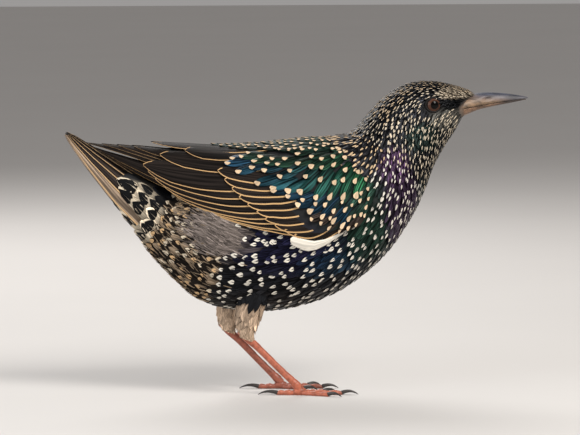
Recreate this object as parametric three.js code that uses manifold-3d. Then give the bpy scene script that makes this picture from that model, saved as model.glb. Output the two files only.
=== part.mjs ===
// A life-size still model of a starling in winter plumage, in millimetres, +Z up.
// The bird faces +X and is symmetrical about the plane y = 0, apart from its stance.
// The origin lies on the floor, midway between the tip of the bill and the tip of the tail.
import * as THREE from "three";
import { mergeVertices } from "three/addons/utils/BufferGeometryUtils.js";
import Module from "manifold-3d";

const wasm = await Module();
wasm.setup();

// Driving dimensions of the bird
const GAP = 0.3; // between parts that meet
const BODY_SIDES = 28; // facets round the trunk
// The tail is carried above the level, closed into an arch that flattens towards its tip.
const TAIL = { slope: THREE.MathUtils.degToRad(31), x: -53, z: 83.5, length: 48, half: 10.2, overlap: 8.5 };
const EYE = { x: 54.8, y: 8.6, z: 118.2, radius: 3.5, rim: 10.5, lid: 3, lidThick: 0.62, turn: 0.17 };
const BILL = { root: 66.5, tip: 95.1, tipZ: 119.7, width: 8.2 };

// Stations of the trunk from the root of the tail to the root of the bill. Each gives a point on
// the back (x, z), a point on the underside (x, z), half the width, and how high the widest part is.
const TRUNK = [
  [-47, 85.6, -60.5, 57.5, 12.5, 0.55],
  [-38, 91.5, -51, 47.2, 17, 0.52],
  [-27, 95.5, -40, 38.4, 21, 0.48],
  [-14, 98.6, -24, 34, 23.8, 0.45],
  [-2.7, 101.6, -3.5, 34.8, 25.2, 0.43],
  [8, 103.9, 17, 41.8, 25.4, 0.43],
  [15.5, 105, 34.5, 55.3, 24.2, 0.44],
  [20.6, 105.8, 45.6, 70.2, 22, 0.46],
  [24.2, 108.2, 51.6, 81.8, 19, 0.48],
  [28.6, 113.2, 55.4, 91.5, 16.2, 0.5],
  [33.8, 119, 59.4, 98.8, 13.9, 0.52],
  [39.8, 123.6, 63.6, 105, 12.3, 0.54],
  [47.2, 126.5, 67, 109.6, 11.4, 0.53],
  [55.2, 126.9, 69.6, 112, 10.3, 0.52],
  [62.8, 125.7, 71.8, 113.2, 8.4, 0.52],
  [69.4, 123.7, 74, 114, 6.1, 0.52],
  [74.6, 121.8, 76.4, 114.9, 3.9, 0.52],
];
// The coverts over and under the root of the tail, in the same terms.
const TAIL_COVERTS = [
  [-47, 85.6, -60.5, 57.5, 12.5, 0.55],
  [-53, 85.2, -65.6, 64.4, 12.3, 0.6],
  [-58.8, 87.2, -69.3, 69.4, 11.8, 0.64],
  [-63.3, 89.5, -72.7, 74.1, 11.2, 0.66],
  [-67.9, 92, -75.8, 78.6, 10.2, 0.66],
  [-73.2, 92.6, -77, 84, 7, 0.62],
];
const NECK_ROOT = 8; // the station where neck meets trunk
const NECK_TOP = 10.6; // the station where head meets neck
const ROUND = 2.15; // how full the sections are, where 2 is an ellipse
const DETAILS = [0.04, 0.03, 0.02, 0.01, 0.005]; // detail smaller than this is left out
const GRIDS = [0.002, 0.003, 0.005, 0.007, 0.011]; // spacings on which corners may be placed

// Stations of the surface that the folded wing lies on, from the wrist to the wing tip: x, z of
// the upper edge, z of the section's middle, half-width of the section, z of the lower edge.
const WING = [
  [30, 100, 75, 24.6, 77.5],
  [24, 102.6, 72.5, 26.6, 73],
  [16, 104, 70.5, 28.3, 69],
  [4, 104.2, 70.5, 29.2, 63.4],
  [-4, 103.4, 70.8, 29.1, 64.4],
  [-14, 102.4, 72, 28, 68.4],
  [-30, 101.8, 77, 23.6, 74.4],
  [-46, 102.6, 84.5, 17.2, 81.2],
  [-62, 103.4, 91, 12, 89],
  [-78, 104.8, 98, 7.6, 97.2],
  [-90, 106, 103.6, 4.6, 103.4],
];
const WING_MIDLINE = 0.5; // how far the upper edge stays from the midline
const TIP_DEPTH = 0.25; // how far the tips of feathers lie under the surface
const VANE = 0.6; // thickness of a flight feather

// Feathers of the folded wing by tier: how many, where the first and the last start and end as
// [x, share of the wing's height], their widths, how deep the first lies and each next one.
const PRIMARIES = {
  count: 6, root: [[-22, 0.36], [-4, 0.1]], tip: [[-68, 0.95], [-90.5, 0.62]],
  width: [8.6, 8.4], depth: 2.6, step: 0.4,
};
const SECONDARIES = {
  count: 5, root: [[-20, 0.5], [0, 0.1]], tip: [[-61, 0.42], [-44, 0.11]],
  width: [9, 8], depth: 1.6, step: 0.3,
};
const TERTIALS = {
  count: 3, root: [[-10, 0.9], [-8, 0.6]], tip: [[-48, 0.92], [-62.5, 0.62]],
  width: [15, 13], depth: 0.5, step: 0.4,
};
const GREATER_COVERTS = {
  count: 7, root: [[-8, 0.66], [14, 0.24]], tip: [[-33, 0.66], [-1, 0.1]],
  width: [9.5, 6.5], depth: 0.2, step: 0.12,
};
const TIERS = [PRIMARIES, SECONDARIES, TERTIALS, GREATER_COVERTS];

const MATERIALS = {
  plumage: [0x15191a, 0.45, 0.3],
  wing: [0x2a2320, 0.55, 0.1],
  tail: [0x3a3029, 0.6, 0.05],
  bill: [0x4a3f38, 0.4, 0],
  eye: [0x120c0a, 0.08, 0],
  leg: [0xa4533f, 0.5, 0],
  claw: [0x2b2623, 0.4, 0],
};

// A smooth curve through the rows of a table, read at a row number that needn't be whole.
function along(table, row) {
  const last = table.length - 1;
  const i = Math.min(Math.max(Math.floor(row), 0), last - 1);
  const t = row - i;
  const at = (k) => table[Math.min(Math.max(k, 0), last)];
  return table[i].map((_, c) => {
    const [a, b, d, e] = [at(i - 1)[c], at(i)[c], at(i + 1)[c], at(i + 2)[c]];
    return b + 0.5 * t * (d - a + t * (2 * a - 5 * b + 4 * d - e + t * (3 * (b - d) + e - a)));
  });
}

// Row numbers spread over a table, with the ends included.
function spread(from, to, count) {
  return Array.from({ length: count }, (_, i) => from + ((to - from) * i) / (count - 1));
}

// A closed skin through rings of points, all with the same number, with flat ends.
function skin(rings) {
  const sides = rings[0].length;
  const points = rings.flat();
  const faces = [];
  for (let r = 0; r + 1 < rings.length; r++) {
    for (let s = 0; s < sides; s++) {
      const next = (s + 1) % sides;
      const [a, b, c, d] = [r * sides + s, r * sides + next, (r + 1) * sides + next, (r + 1) * sides + s];
      faces.push(a, b, c, a, c, d);
    }
  }
  for (const [ring, first] of [[0, true], [rings.length - 1, false]]) {
    const middle = rings[ring].reduce((sum, p) => sum.add(p), new THREE.Vector3()).divideScalar(sides);
    points.push(middle);
    for (let s = 0; s < sides; s++) {
      const [a, b] = [ring * sides + s, ring * sides + ((s + 1) % sides)];
      faces.push(points.length - 1, ...(first ? [b, a] : [a, b]));
    }
  }
  const geometry = new THREE.BufferGeometry().setFromPoints(points);
  geometry.setIndex(faces);
  return geometry;
}

// A geometry as a solid, turned right side out.
function solid(geometry) {
  const bare = geometry.clone();
  bare.deleteAttribute("normal");
  bare.deleteAttribute("uv");
  const merged = mergeVertices(bare, 1e-4);
  const vertProperties = new Float32Array(merged.attributes.position.array);
  const triVerts = new Uint32Array(merged.index.array);
  const made = new wasm.Manifold(new wasm.Mesh({ numProp: 3, vertProperties, triVerts }));
  if (made.volume() > 0) return made;
  for (let i = 0; i < triVerts.length; i += 3) {
    [triVerts[i + 1], triVerts[i + 2]] = [triVerts[i + 2], triVerts[i + 1]];
  }
  return new wasm.Manifold(new wasm.Mesh({ numProp: 3, vertProperties, triVerts }));
}

const join = (solids) => solids.reduce((whole, piece) => whole.add(piece));
const largest = (whole) => whole.decompose().sort((a, b) => b.volume() - a.volume())[0];

// A mesh with its corners on a grid, so that no two corners all but touch.
function gridded(mesh, grid) {
  const points = [];
  for (let i = 0; i < mesh.numVert; i++) {
    const point = new THREE.Vector3().fromArray(mesh.vertProperties, i * mesh.numProp);
    points.push(point.divideScalar(grid).round().multiplyScalar(grid));
  }
  const geometry = new THREE.BufferGeometry().setFromPoints(points);
  geometry.setIndex(Array.from(mesh.triVerts));
  const merged = mergeVertices(geometry, grid / 2);
  const index = merged.index.array;
  const whole = [];
  for (let i = 0; i < index.length; i += 3) {
    const [a, b, c] = [index[i], index[i + 1], index[i + 2]];
    if (a !== b && b !== c && c !== a) whole.push(a, b, c);
  }
  return merged.setIndex(whole);
}

// True where every edge has one face on each side.
function isClosed(geometry) {
  const index = geometry.index.array;
  const faces = new Map();
  for (let i = 0; i < index.length; i += 3) {
    for (const [a, b] of [[0, 1], [1, 2], [2, 0]]) {
      const [low, high] = [index[i + a], index[i + b]].sort((m, n) => m - n);
      const edge = low + "_" + high;
      faces.set(edge, (faces.get(edge) ?? 0) + 1);
    }
  }
  return [...faces.values()].every((count) => count === 2);
}

// The largest body of a solid as a geometry, with the least detail dropped and on the finest
// grid that leave it closed.
function geometryOf(made) {
  for (const detail of DETAILS) {
    const mesh = largest(made.simplify(detail)).getMesh();
    const closed = GRIDS.map((grid) => gridded(mesh, grid)).find(isClosed);
    if (closed) return closed;
  }
  throw new Error("no grid leaves a body closed");
}

// The same shape on the other side of the bird.
function mirrored(geometry) {
  const other = geometry.clone().scale(1, -1, 1);
  const index = Array.from(other.index.array);
  for (let i = 0; i < index.length; i += 3) [index[i + 1], index[i + 2]] = [index[i + 2], index[i + 1]];
  return other.setIndex(index);
}

const starling = new THREE.Group();

function add(name, finish, geometry) {
  const [color, roughness, metalness] = MATERIALS[finish];
  const shape = geometry.index ? geometry.toNonIndexed() : geometry;
  shape.computeVertexNormals();
  const mesh = new THREE.Mesh(shape, new THREE.MeshStandardMaterial({ color, roughness, metalness }));
  mesh.name = name;
  starling.add(mesh);
}

// Adds a shape of the right side, which has negative y, and its twin on the left.
function addPair(name, finish, geometry) {
  add(name + "_right", finish, geometry);
  add(name + "_left", finish, mirrored(geometry));
}

// A ring of the trunk at a station, grown outwards by a margin: a section whose upper and lower
// halves are part ellipse, part box, and meet at the widest level.
function bodyRing(table, row, margin = 0, sides = BODY_SIDES) {
  const [backX, backZ, underX, underZ, halfWidth, level] = along(table, row);
  const under = new THREE.Vector3(underX, 0, underZ);
  const up = new THREE.Vector3(backX, 0, backZ).sub(under);
  const height = up.length();
  up.normalize();
  const middle = under.clone().addScaledVector(up, height * level);
  return Array.from({ length: sides }, (_, i) => {
    const angle = (2 * Math.PI * i) / sides;
    const [c, s] = [Math.cos(angle), Math.sin(angle)];
    const radius = height * (c > 0 ? 1 - level : level) + margin;
    const rise = Math.sign(c) * Math.abs(c) ** (2 / ROUND) * radius;
    const out = Math.sign(s) * Math.abs(s) ** (2 / ROUND) * (halfWidth + margin);
    const point = middle.clone().addScaledVector(up, rise);
    point.y = out;
    return point;
  });
}

const TRUNK_ROWS = [...spread(0, 7.5, 16), ...spread(8, 11, 7), ...spread(11.5, 16, 12)];

// The room that parts beside the trunk leave free: the trunk between two stations, grown by the gap.
function trunkRoom(from, to) {
  const rings = TRUNK_ROWS.filter((row) => row >= from && row <= to).map((row) => bodyRing(TRUNK, row, GAP));
  const beyond = (ring, dx) => ring.map((point) => point.clone().setX(point.x + dx));
  return solid(skin([beyond(rings[0], -GAP), ...rings, beyond(rings.at(-1), GAP)]));
}

// A thin plate across the trunk at a station, for parting it.
function partingPlate(row) {
  const [backX, backZ, underX, underZ] = along(TRUNK, row);
  const plate = new THREE.BoxGeometry(GAP, 60, Math.hypot(backX - underX, backZ - underZ) + 6);
  plate.rotateY(Math.atan2(backX - underX, backZ - underZ));
  return plate.translate((backX + underX) / 2, 0, (backZ + underZ) / 2);
}

// A tube through centres with a radius at each, flattened where it would pass below the floor.
function limb(centres, radii, sides, squeeze = 1) {
  const curve = centres.map((c) => new THREE.Vector3(...c));
  return skin(
    curve.map((centre, i) => {
      const ahead = curve[Math.min(i + 1, curve.length - 1)].clone().sub(curve[Math.max(i - 1, 0)]).normalize();
      const across = new THREE.Vector3(ahead.y, -ahead.x, 0);
      if (across.length() < 0.05) across.set(0, -1, 0);
      across.normalize();
      const up = across.clone().cross(ahead);
      return Array.from({ length: sides }, (_, k) => {
        const angle = (2 * Math.PI * (k + 0.5)) / sides;
        const point = centre.clone().addScaledVector(across, Math.cos(angle) * radii[i] * squeeze);
        point.addScaledVector(up, Math.sin(angle) * radii[i]);
        point.z = Math.max(point.z, 0);
        return point;
      });
    }),
  );
}

// Trunk, neck and head are one smooth body, parted by two thin cuts. The head has sockets for
// the eyes, with a rim of bare lid round each.
function makeBody() {
  const whole = solid(skin(TRUNK_ROWS.map((row) => bodyRing(TRUNK, row))));
  const parted = whole.subtract(solid(partingPlate(NECK_ROOT))).subtract(solid(partingPlate(NECK_TOP)));
  const pieces = parted.decompose().sort((a, b) => a.boundingBox().max[0] - b.boundingBox().max[0]);
  const [trunk, neck] = pieces;
  let head = pieces[2];
  for (const side of [-1, 1]) {
    const lid = new THREE.TorusGeometry(EYE.lid, EYE.lidThick, 6, 18).rotateX(Math.PI / 2);
    lid.rotateZ(side * EYE.turn * -1).translate(EYE.x, side * EYE.rim, EYE.z);
    head = head.add(solid(lid));
  }
  for (const side of [-1, 1]) {
    const socket = new THREE.SphereGeometry(EYE.radius + GAP, 16, 12).translate(EYE.x, side * EYE.y, EYE.z);
    head = head.subtract(solid(socket));
  }
  add("torso", "plumage", geometryOf(trunk));
  add("neck", "plumage", geometryOf(neck));
  add("head", "plumage", geometryOf(head));
  addPair("eye", "eye", new THREE.SphereGeometry(EYE.radius, 16, 12).translate(EYE.x, -EYE.y, EYE.z));
}

// One half of the bill from a table of stations: x, z of the upper side, z of the lower side and
// half the width. The upper half is a ridge with flat cutting edges, the lower half a keel.
function billHalf(stations, upper) {
  const rings = spread(0, stations.length - 1, 14).map((row) => {
    const [x, top, bottom, half] = along(stations, row);
    return Array.from({ length: 16 }, (_, i) => {
      const angle = (2 * Math.PI * i) / 16;
      const [c, s] = [Math.cos(angle), Math.sin(angle)];
      const flat = upper ? c < 0 : c > 0;
      const rise = flat ? 0 : Math.abs(c) ** 0.85;
      const z = upper ? bottom + (top - bottom) * rise : top - (top - bottom) * rise;
      return new THREE.Vector3(x, half * Math.sign(s) * Math.abs(s) ** (flat ? 0.6 : 1), z + (flat ? c * 0.12 : 0));
    });
  });
  return solid(skin(rings));
}

function makeBill() {
  const { root, tip, tipZ, width } = BILL;
  const gape = 113.6;
  const upper = billHalf(
    [
      [root, gape + 3, gape + 0.3, width * 0.42],
      [72, 121, 115.6, width * 0.5],
      [77, 121.9, 117.1, width * 0.44],
      [83, 121.9, 118.1, width * 0.33],
      [89, 121.2, 118.9, width * 0.22],
      [tip, tipZ + 0.35, tipZ - 0.25, 0.5],
    ],
    true,
  );
  const lower = billHalf(
    [
      [root, gape, gape - 1.6, width * 0.4],
      [72, 115.3, 112.6, width * 0.46],
      [77, 116.8, 114.6, width * 0.4],
      [83, 117.8, 116.5, width * 0.3],
      [89, 118.6, 117.8, width * 0.2],
      [tip - 0.8, tipZ - 0.6, tipZ - 1, 0.45],
    ],
    false,
  );
  const headRoom = trunkRoom(11, 16);
  let top = upper.subtract(headRoom);
  for (const side of [-1, 1]) {
    const nostril = new THREE.SphereGeometry(1, 12, 8).scale(1.9, 0.8, 0.6);
    top = top.subtract(solid(nostril.rotateY(0.12).translate(77.6, side * 3.1, 119.6)));
  }
  add("bill_upper", "bill", geometryOf(top));
  add("bill_lower", "bill", geometryOf(lower.subtract(headRoom)));
}

// A point of the wing's surface on the bird's right: x along the bird and s the distance in
// millimetres up the curved section from the wing's lower edge.
function wingSection(x) {
  const xs = WING.map((station) => station[0]);
  let i = xs.findIndex((edge) => x > edge);
  i = i < 0 ? xs.length - 1 : Math.max(i, 1);
  const row = i - 1 + (xs[i - 1] - x) / (xs[i - 1] - xs[i]);
  const [, top, middle, half, low] = along(WING, Math.min(row, xs.length - 1));
  const height = top - middle;
  const lowAngle = Math.acos(Math.max((low - middle) / height, -0.98));
  return { middle, height, half, lowAngle, arc: (lowAngle * (height + half)) / 2 };
}

function wingPoint(x, s) {
  const { middle, height, half, lowAngle, arc } = wingSection(x);
  const angle = Math.max(lowAngle * (1 - s / arc), 0);
  return new THREE.Vector3(x, -WING_MIDLINE - half * Math.sin(angle), middle + height * Math.cos(angle));
}

function wingNormal(x, s) {
  const h = 0.4;
  const alongX = wingPoint(x + h, s).sub(wingPoint(x - h, s));
  const up = wingPoint(x, s + h).sub(wingPoint(x, s - h));
  return up.cross(alongX).negate().normalize();
}

// Shares of a feather's length and the share of its full width at each: a narrow root, even
// sides and a round tip.
const OUTLINE = [[0, 0.6], [0.45, 0.98], [0.76, 0.95], [0.93, 0.62], [1, 0.16]];

// A feather on the wing's surface from root to tip, each given as [x, s]. It lies close under
// the surface at its tip and deep at its root.
function wingVane(root, tip, width, depth, lanes) {
  const heading = new THREE.Vector2(tip[0] - root[0], tip[1] - root[1]).normalize();
  const rings = OUTLINE.map(([share, wide]) => {
    const x = root[0] + (tip[0] - root[0]) * share;
    const s = root[1] + (tip[1] - root[1]) * share;
    const sink = TIP_DEPTH + depth * Math.min(1, 2.2 * (1 - share));
    const upper = [];
    const lower = [];
    for (let lane = 0; lane < lanes; lane++) {
      const across = ((lane / (lanes - 1)) * 2 - 1) * (width / 2) * wide;
      const [px, ps] = [x - heading.y * across, s + heading.x * across];
      const normal = wingNormal(px, ps);
      upper.push(wingPoint(px, ps).addScaledVector(normal, -sink));
      lower.unshift(wingPoint(px, ps).addScaledVector(normal, -sink - VANE));
    }
    return [...upper, ...lower];
  });
  return solid(strip(rings, lanes));
}

// A thin plate through rings of an upper and a lower row of points, split alike on both faces.
function strip(rings, lanes) {
  const sides = 2 * lanes;
  const faces = [];
  const quad = (a, b, c, d) => faces.push(a, b, c, a, c, d);
  const flip = (a, b, c, d) => faces.push(b, c, d, b, d, a);
  for (let r = 0; r + 1 < rings.length; r++) {
    for (let s = 0; s < sides; s++) {
      const next = (s + 1) % sides;
      const corners = [r * sides + s, r * sides + next, (r + 1) * sides + next, (r + 1) * sides + s];
      (s < lanes ? quad : flip)(...corners);
    }
  }
  for (let s = 0; s + 1 < lanes; s++) {
    const last = (rings.length - 1) * sides;
    quad(s + 1, s, sides - 1 - s, sides - 2 - s);
    quad(last + s, last + s + 1, last + sides - 2 - s, last + sides - 1 - s);
  }
  const geometry = new THREE.BufferGeometry().setFromPoints(rings.flat());
  geometry.setIndex(faces);
  return geometry;
}

// The arm of the wing under its small feathers: a slab that follows the wing's surface and
// thins towards its edges.
function wingArm() {
  const lanes = 8;
  const [front, rear, thick] = [29.5, -34, 3.8];
  const rings = spread(front, rear, 12).map((x) => {
    const { arc } = wingSection(x);
    const share = (front - x) / (front - rear);
    const bend = Math.sqrt(1 - Math.max(0, 1 - (share + 0.01) / 0.24) ** 2);
    const low = arc * (0.01 + 0.5 * Math.max(0, share - 0.45) ** 1.4 + 0.04 * (1 - bend));
    const high = arc * (0.1 + 0.42 * bend + 0.44 * Math.min(1, share * 1.7));
    const outer = [];
    const inner = [];
    for (let lane = 0; lane < lanes; lane++) {
      const across = lane / (lanes - 1);
      const edge = Math.max(0, 1 - 6 * share, 1 - 5 * (1 - across) * (1 + 3 * share), 1 - 7 * (1 - share));
      const s = low + (high - low) * across;
      const depth = 0.5 + 1.5 * edge ** 2;
      outer.push(wingPoint(x, s).addScaledVector(wingNormal(x, s), -depth));
      inner.unshift(wingPoint(x, s).addScaledVector(wingNormal(x, s), -depth - thick * (1 - 0.6 * edge)));
    }
    return [...outer, ...inner];
  });
  return solid(strip(rings, lanes));
}

// A folded wing: its arm, with tiers of feathers whose roots are sunk into it. The first tier,
// the primaries, lies deepest, and the greater coverts lie on top of all.
function makeWings() {
  const vanes = [];
  for (const { count, root, tip, width, depth, step } of TIERS) {
    for (let i = 0; i < count; i++) {
      const share = i / (count - 1);
      const place = ([[x0, v0], [x1, v1]]) => {
        const x = x0 + (x1 - x0) * share;
        return [x, (v0 + (v1 - v0) * share) * wingSection(x).arc];
      };
      const wide = width[0] + (width[1] - width[0]) * share;
      vanes.push(wingVane(place(root), place(tip), wide, depth + i * step, 3));
    }
  }
  const otherSide = new THREE.BoxGeometry(260, 60, 200).translate(0, 30 - GAP / 2, 80);
  const overTail = new THREE.BoxGeometry(80, 60, 40).translate(-40, 0, -20).rotateY(TAIL.slope);
  overTail.translate(TAIL.x + 8, 0, TAIL.z - 4.8 + 0.8);
  const wing = join([wingArm(), ...vanes]).subtract(trunkRoom(0, 10)).subtract(solid(otherSide));
  addPair("wing", "wing", geometryOf(wing.subtract(solid(overTail))));
}

// A point of the tail's arch: so far along from its root, a share of the way round from the
// ridge to the edge, and so deep below the surface.
function tailPoint(length, round, below) {
  const angle = round * 1.4;
  const half = TAIL.half - 0.03 * length;
  const height = 14.2 - 0.42 * (length - 21.5);
  const across = half * Math.sin(angle) * (1 - below / half);
  const down = (height * (1 - Math.cos(angle))) / 0.83 + below * Math.cos(angle);
  const [c, s] = [Math.cos(TAIL.slope), Math.sin(TAIL.slope)];
  return new THREE.Vector3(TAIL.x - c * length - s * down, across, TAIL.z + s * length - c * down);
}

// The tail: twelve feathers closed into an arch, the middle pair uppermost and each further one
// tucked under its neighbour, with the coverts over and under their roots.
function makeTail() {
  const lanes = 3;
  const feathers = [];
  for (const side of [-1, 1]) {
    for (let pair = 0; pair < 6; pair++) {
      const tip = TAIL.length - (pair === 0 ? 1.4 : 0.3 * Math.abs(pair - 2));
      const edge = (pair + 1) / 6;
      const rings = OUTLINE.map(([share, wide]) => {
        const length = 6 + (tip - 6) * share;
        const width = (TAIL.overlap * wide) / (20 - 0.2 * length);
        const middle = edge - (0.5 * TAIL.overlap) / (20 - 0.2 * length);
        const upper = [];
        const lower = [];
        for (let lane = 0; lane < lanes; lane++) {
          const round = middle + ((lane / (lanes - 1)) - 0.5) * width;
          const below = 0.2 + 0.34 * Math.max(0, pair + 1 - 6 * round) + (side > 0 ? 0.1 : 0);
          upper.push(tailPoint(length, side * round, below));
          lower.unshift(tailPoint(length, side * round, below + VANE));
        }
        return [...upper, ...lower];
      });
      feathers.push(solid(strip(rings, lanes)));
    }
  }
  const coverts = spread(0, TAIL_COVERTS.length - 1, 16).map((row) => bodyRing(TAIL_COVERTS, row, 0, 24));
  coverts.unshift(coverts[0].map((point) => point.clone().add(new THREE.Vector3(2, 0, -1))));
  const tail = join([solid(skin(coverts)), ...feathers]).subtract(trunkRoom(0, 4));
  add("tail", "tail", geometryOf(tail));
}

// Each leg on the bird's right, then left: the feathered thigh, the bare shank and the foot.
const LEGS = [
  { side: "right", y: -11, ankle: [-24.4, 25.4], joint: [-1.6, 3.6], turn: -6 },
  { side: "left", y: 11, ankle: [-29.2, 26.2], joint: [-6.4, 3.6], turn: 8 },
];
// The thigh's middle line from the ankle [x, z], with its radius.
const THIGH = [[7.4, 19.5, 9], [4.4, 11, 7.4], [2, 4.6, 5.6], [1.4, 0.2, 3.9], [2.2, -2.4, 2.6]];
// Toes in degrees from straight ahead, with the length and girth of the toe and its claw's length.
const TOES = [
  { name: "middle", bearing: 0, length: 17.5, girth: 2.3, claw: 6.2 },
  { name: "inner", bearing: 27, length: 11.5, girth: 2.2, claw: 5.6 },
  { name: "outer", bearing: -26, length: 13, girth: 2, claw: 5.4 },
  { name: "hind", bearing: 178, length: 9.5, girth: 2.4, claw: 7.5 },
];

function makeLegs() {
  for (const { side, y, ankle, joint, turn } of LEGS) {
    const out = Math.sign(y);
    const thigh = THIGH.map(([x, z], i) => [ankle[0] + x, y + out * (0.6 - 0.15 * i), ankle[1] + z]);
    const shank = [
      [ankle[0] - 0.4, y, ankle[1] + 0.6],
      [ankle[0] + 2.6, y, ankle[1] - 2.5],
      [ankle[0] * 0.5 + joint[0] * 0.5, y, ankle[1] * 0.5 + joint[1] * 0.5 - 0.2],
      [joint[0] - 2.6, y, joint[1] + 2.5],
      [joint[0] - 0.8, y, joint[1] + 0.7],
      [joint[0] + 0.4, y, joint[1] - 0.6],
    ];
    const girths = [2, 1.75, 1.45, 1.5, 1.75, 1.7];
    const below = [thigh[4][0] + 0.1, thigh[4][1], thigh[4][2] - GAP];
    const thighRoom = limb([...thigh, below], [...THIGH.map(([, , r]) => r + GAP), 2.6], 18);
    const thighSolid = solid(limb(thigh, THIGH.map(([, , r]) => r), 18));
    const shankRoom = limb(shank, girths.map((r) => r + GAP), 12);
    add("thigh_" + side, "plumage", geometryOf(thighSolid.subtract(trunkRoom(0, 8))));
    add("shank_" + side, "leg", geometryOf(solid(limb(shank, girths, 12)).subtract(solid(thighRoom))));
    makeFoot(side, out, y, joint, turn, solid(shankRoom));
  }
}

// A foot on the floor: three toes ahead and one behind, swollen at their joints and flat below,
// each with a curved claw.
function makeFoot(side, out, y, joint, turn, shankRoom) {
  const hub = new THREE.SphereGeometry(2.3, 12, 8).scale(1.15, 1, 0.8).translate(joint[0] + 0.8, y, 1.7);
  const ground = new THREE.BoxGeometry(80, 80, 10).translate(joint[0], y, -5);
  const toes = [solid(hub)];
  for (const { name, bearing, length, girth, claw } of TOES) {
    const heading = THREE.MathUtils.degToRad(-out * bearing + turn * -out);
    const [c, s] = [Math.cos(heading), Math.sin(heading)];
    const spot = (reach, z) => [joint[0] + 0.8 + c * reach, y + s * reach, z];
    const radius = girth / 2;
    const joints = spread(0, 1, 7).map((share, i) => [share, (1 - 0.22 * share) * (i % 2 === 1 ? 1.1 : 0.95)]);
    const centres = joints.map(([share, swell]) => spot(length * share, radius * swell * 0.86));
    toes.push(solid(limb(centres, joints.map(([, swell]) => radius * swell), 8)));
    const hook = spread(0, 1, 6).map((share) => {
      return spot(length + GAP + claw * share, 0.95 + 1.1 * Math.sin(share * 2.2) - 1.65 * share ** 2);
    });
    const clawSolid = solid(limb(hook, spread(0, 1, 6).map((share) => 0.78 * (1 - share) ** 0.8 + 0.14), 6));
    add("claw_" + side + "_" + name, "claw", geometryOf(clawSolid));
  }
  add("foot_" + side, "leg", geometryOf(join(toes).subtract(shankRoom).subtract(solid(ground))));
}

makeBody();
makeBill();
makeWings();
makeTail();
makeLegs();

export default starling;
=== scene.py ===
"""A starling in winter plumage, life size, standing on the floor and leaning forward.

Lengths in the tables are millimetres in the model's frame: x towards the bill, y to the bird's
left and z up from the floor. The right side, with negative y, is the one that faces the camera.
"""

import math

import bpy
import numpy as np
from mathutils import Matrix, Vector


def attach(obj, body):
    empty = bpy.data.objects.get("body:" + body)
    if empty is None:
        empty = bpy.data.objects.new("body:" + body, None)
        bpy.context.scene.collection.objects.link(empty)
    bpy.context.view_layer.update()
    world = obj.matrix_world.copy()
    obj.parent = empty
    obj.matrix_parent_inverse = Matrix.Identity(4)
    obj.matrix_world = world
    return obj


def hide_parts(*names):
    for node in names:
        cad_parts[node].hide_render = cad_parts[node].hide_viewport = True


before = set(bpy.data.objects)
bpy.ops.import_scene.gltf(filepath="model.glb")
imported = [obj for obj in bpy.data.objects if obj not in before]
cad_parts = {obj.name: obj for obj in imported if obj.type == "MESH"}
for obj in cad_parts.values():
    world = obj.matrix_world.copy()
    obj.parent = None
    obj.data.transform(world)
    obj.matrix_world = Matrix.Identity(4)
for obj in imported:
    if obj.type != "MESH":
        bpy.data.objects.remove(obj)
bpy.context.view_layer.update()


# The camera looks at the bird's right side from far off, a little from behind and a little above,
# as a long lens does, so the picture is almost free of perspective.
MM = 0.001
AIM = (-3.3, 0.0, 71.6)
CAMERA_AZIMUTH = math.radians(-8)
CAMERA_ELEVATION = math.radians(5)
CAMERA_DISTANCE = 1800
CAMERA_REACH = 20000
PICTURE_WIDTH = 236.7
SENSOR = 36

camera = bpy.data.objects.new("camera", bpy.data.cameras.new("camera"))
bpy.context.scene.collection.objects.link(camera)
bpy.context.scene.camera = camera
camera.data.sensor_width = SENSOR
camera.data.lens = SENSOR * CAMERA_DISTANCE / PICTURE_WIDTH
camera.data.clip_end = CAMERA_REACH * MM
towards_camera = Vector(
    (
        math.sin(CAMERA_AZIMUTH) * math.cos(CAMERA_ELEVATION),
        -math.cos(CAMERA_AZIMUTH) * math.cos(CAMERA_ELEVATION),
        math.sin(CAMERA_ELEVATION),
    )
)
camera.location = Vector(AIM) * MM + towards_camera * CAMERA_DISTANCE * MM
camera.rotation_euler = (-towards_camera).to_track_quat("-Z", "Y").to_euler()


# The flesh of head, neck, trunk and thighs is one skin without a seam. It lies under the coat by
# the coat's depth and carries the coat's colours, so that no pale ground shows between feathers.
FLESH = ("torso", "neck", "head", "thigh_right", "thigh_left")
SKIN_DEPTH = 1.15
THIGH_SKIN_DEPTH = 0.8
VOXEL = 0.9
# The power of the body's rounded sections, of which 2 is an ellipse and more is squarer.
SQUARENESS = 2.15
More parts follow.
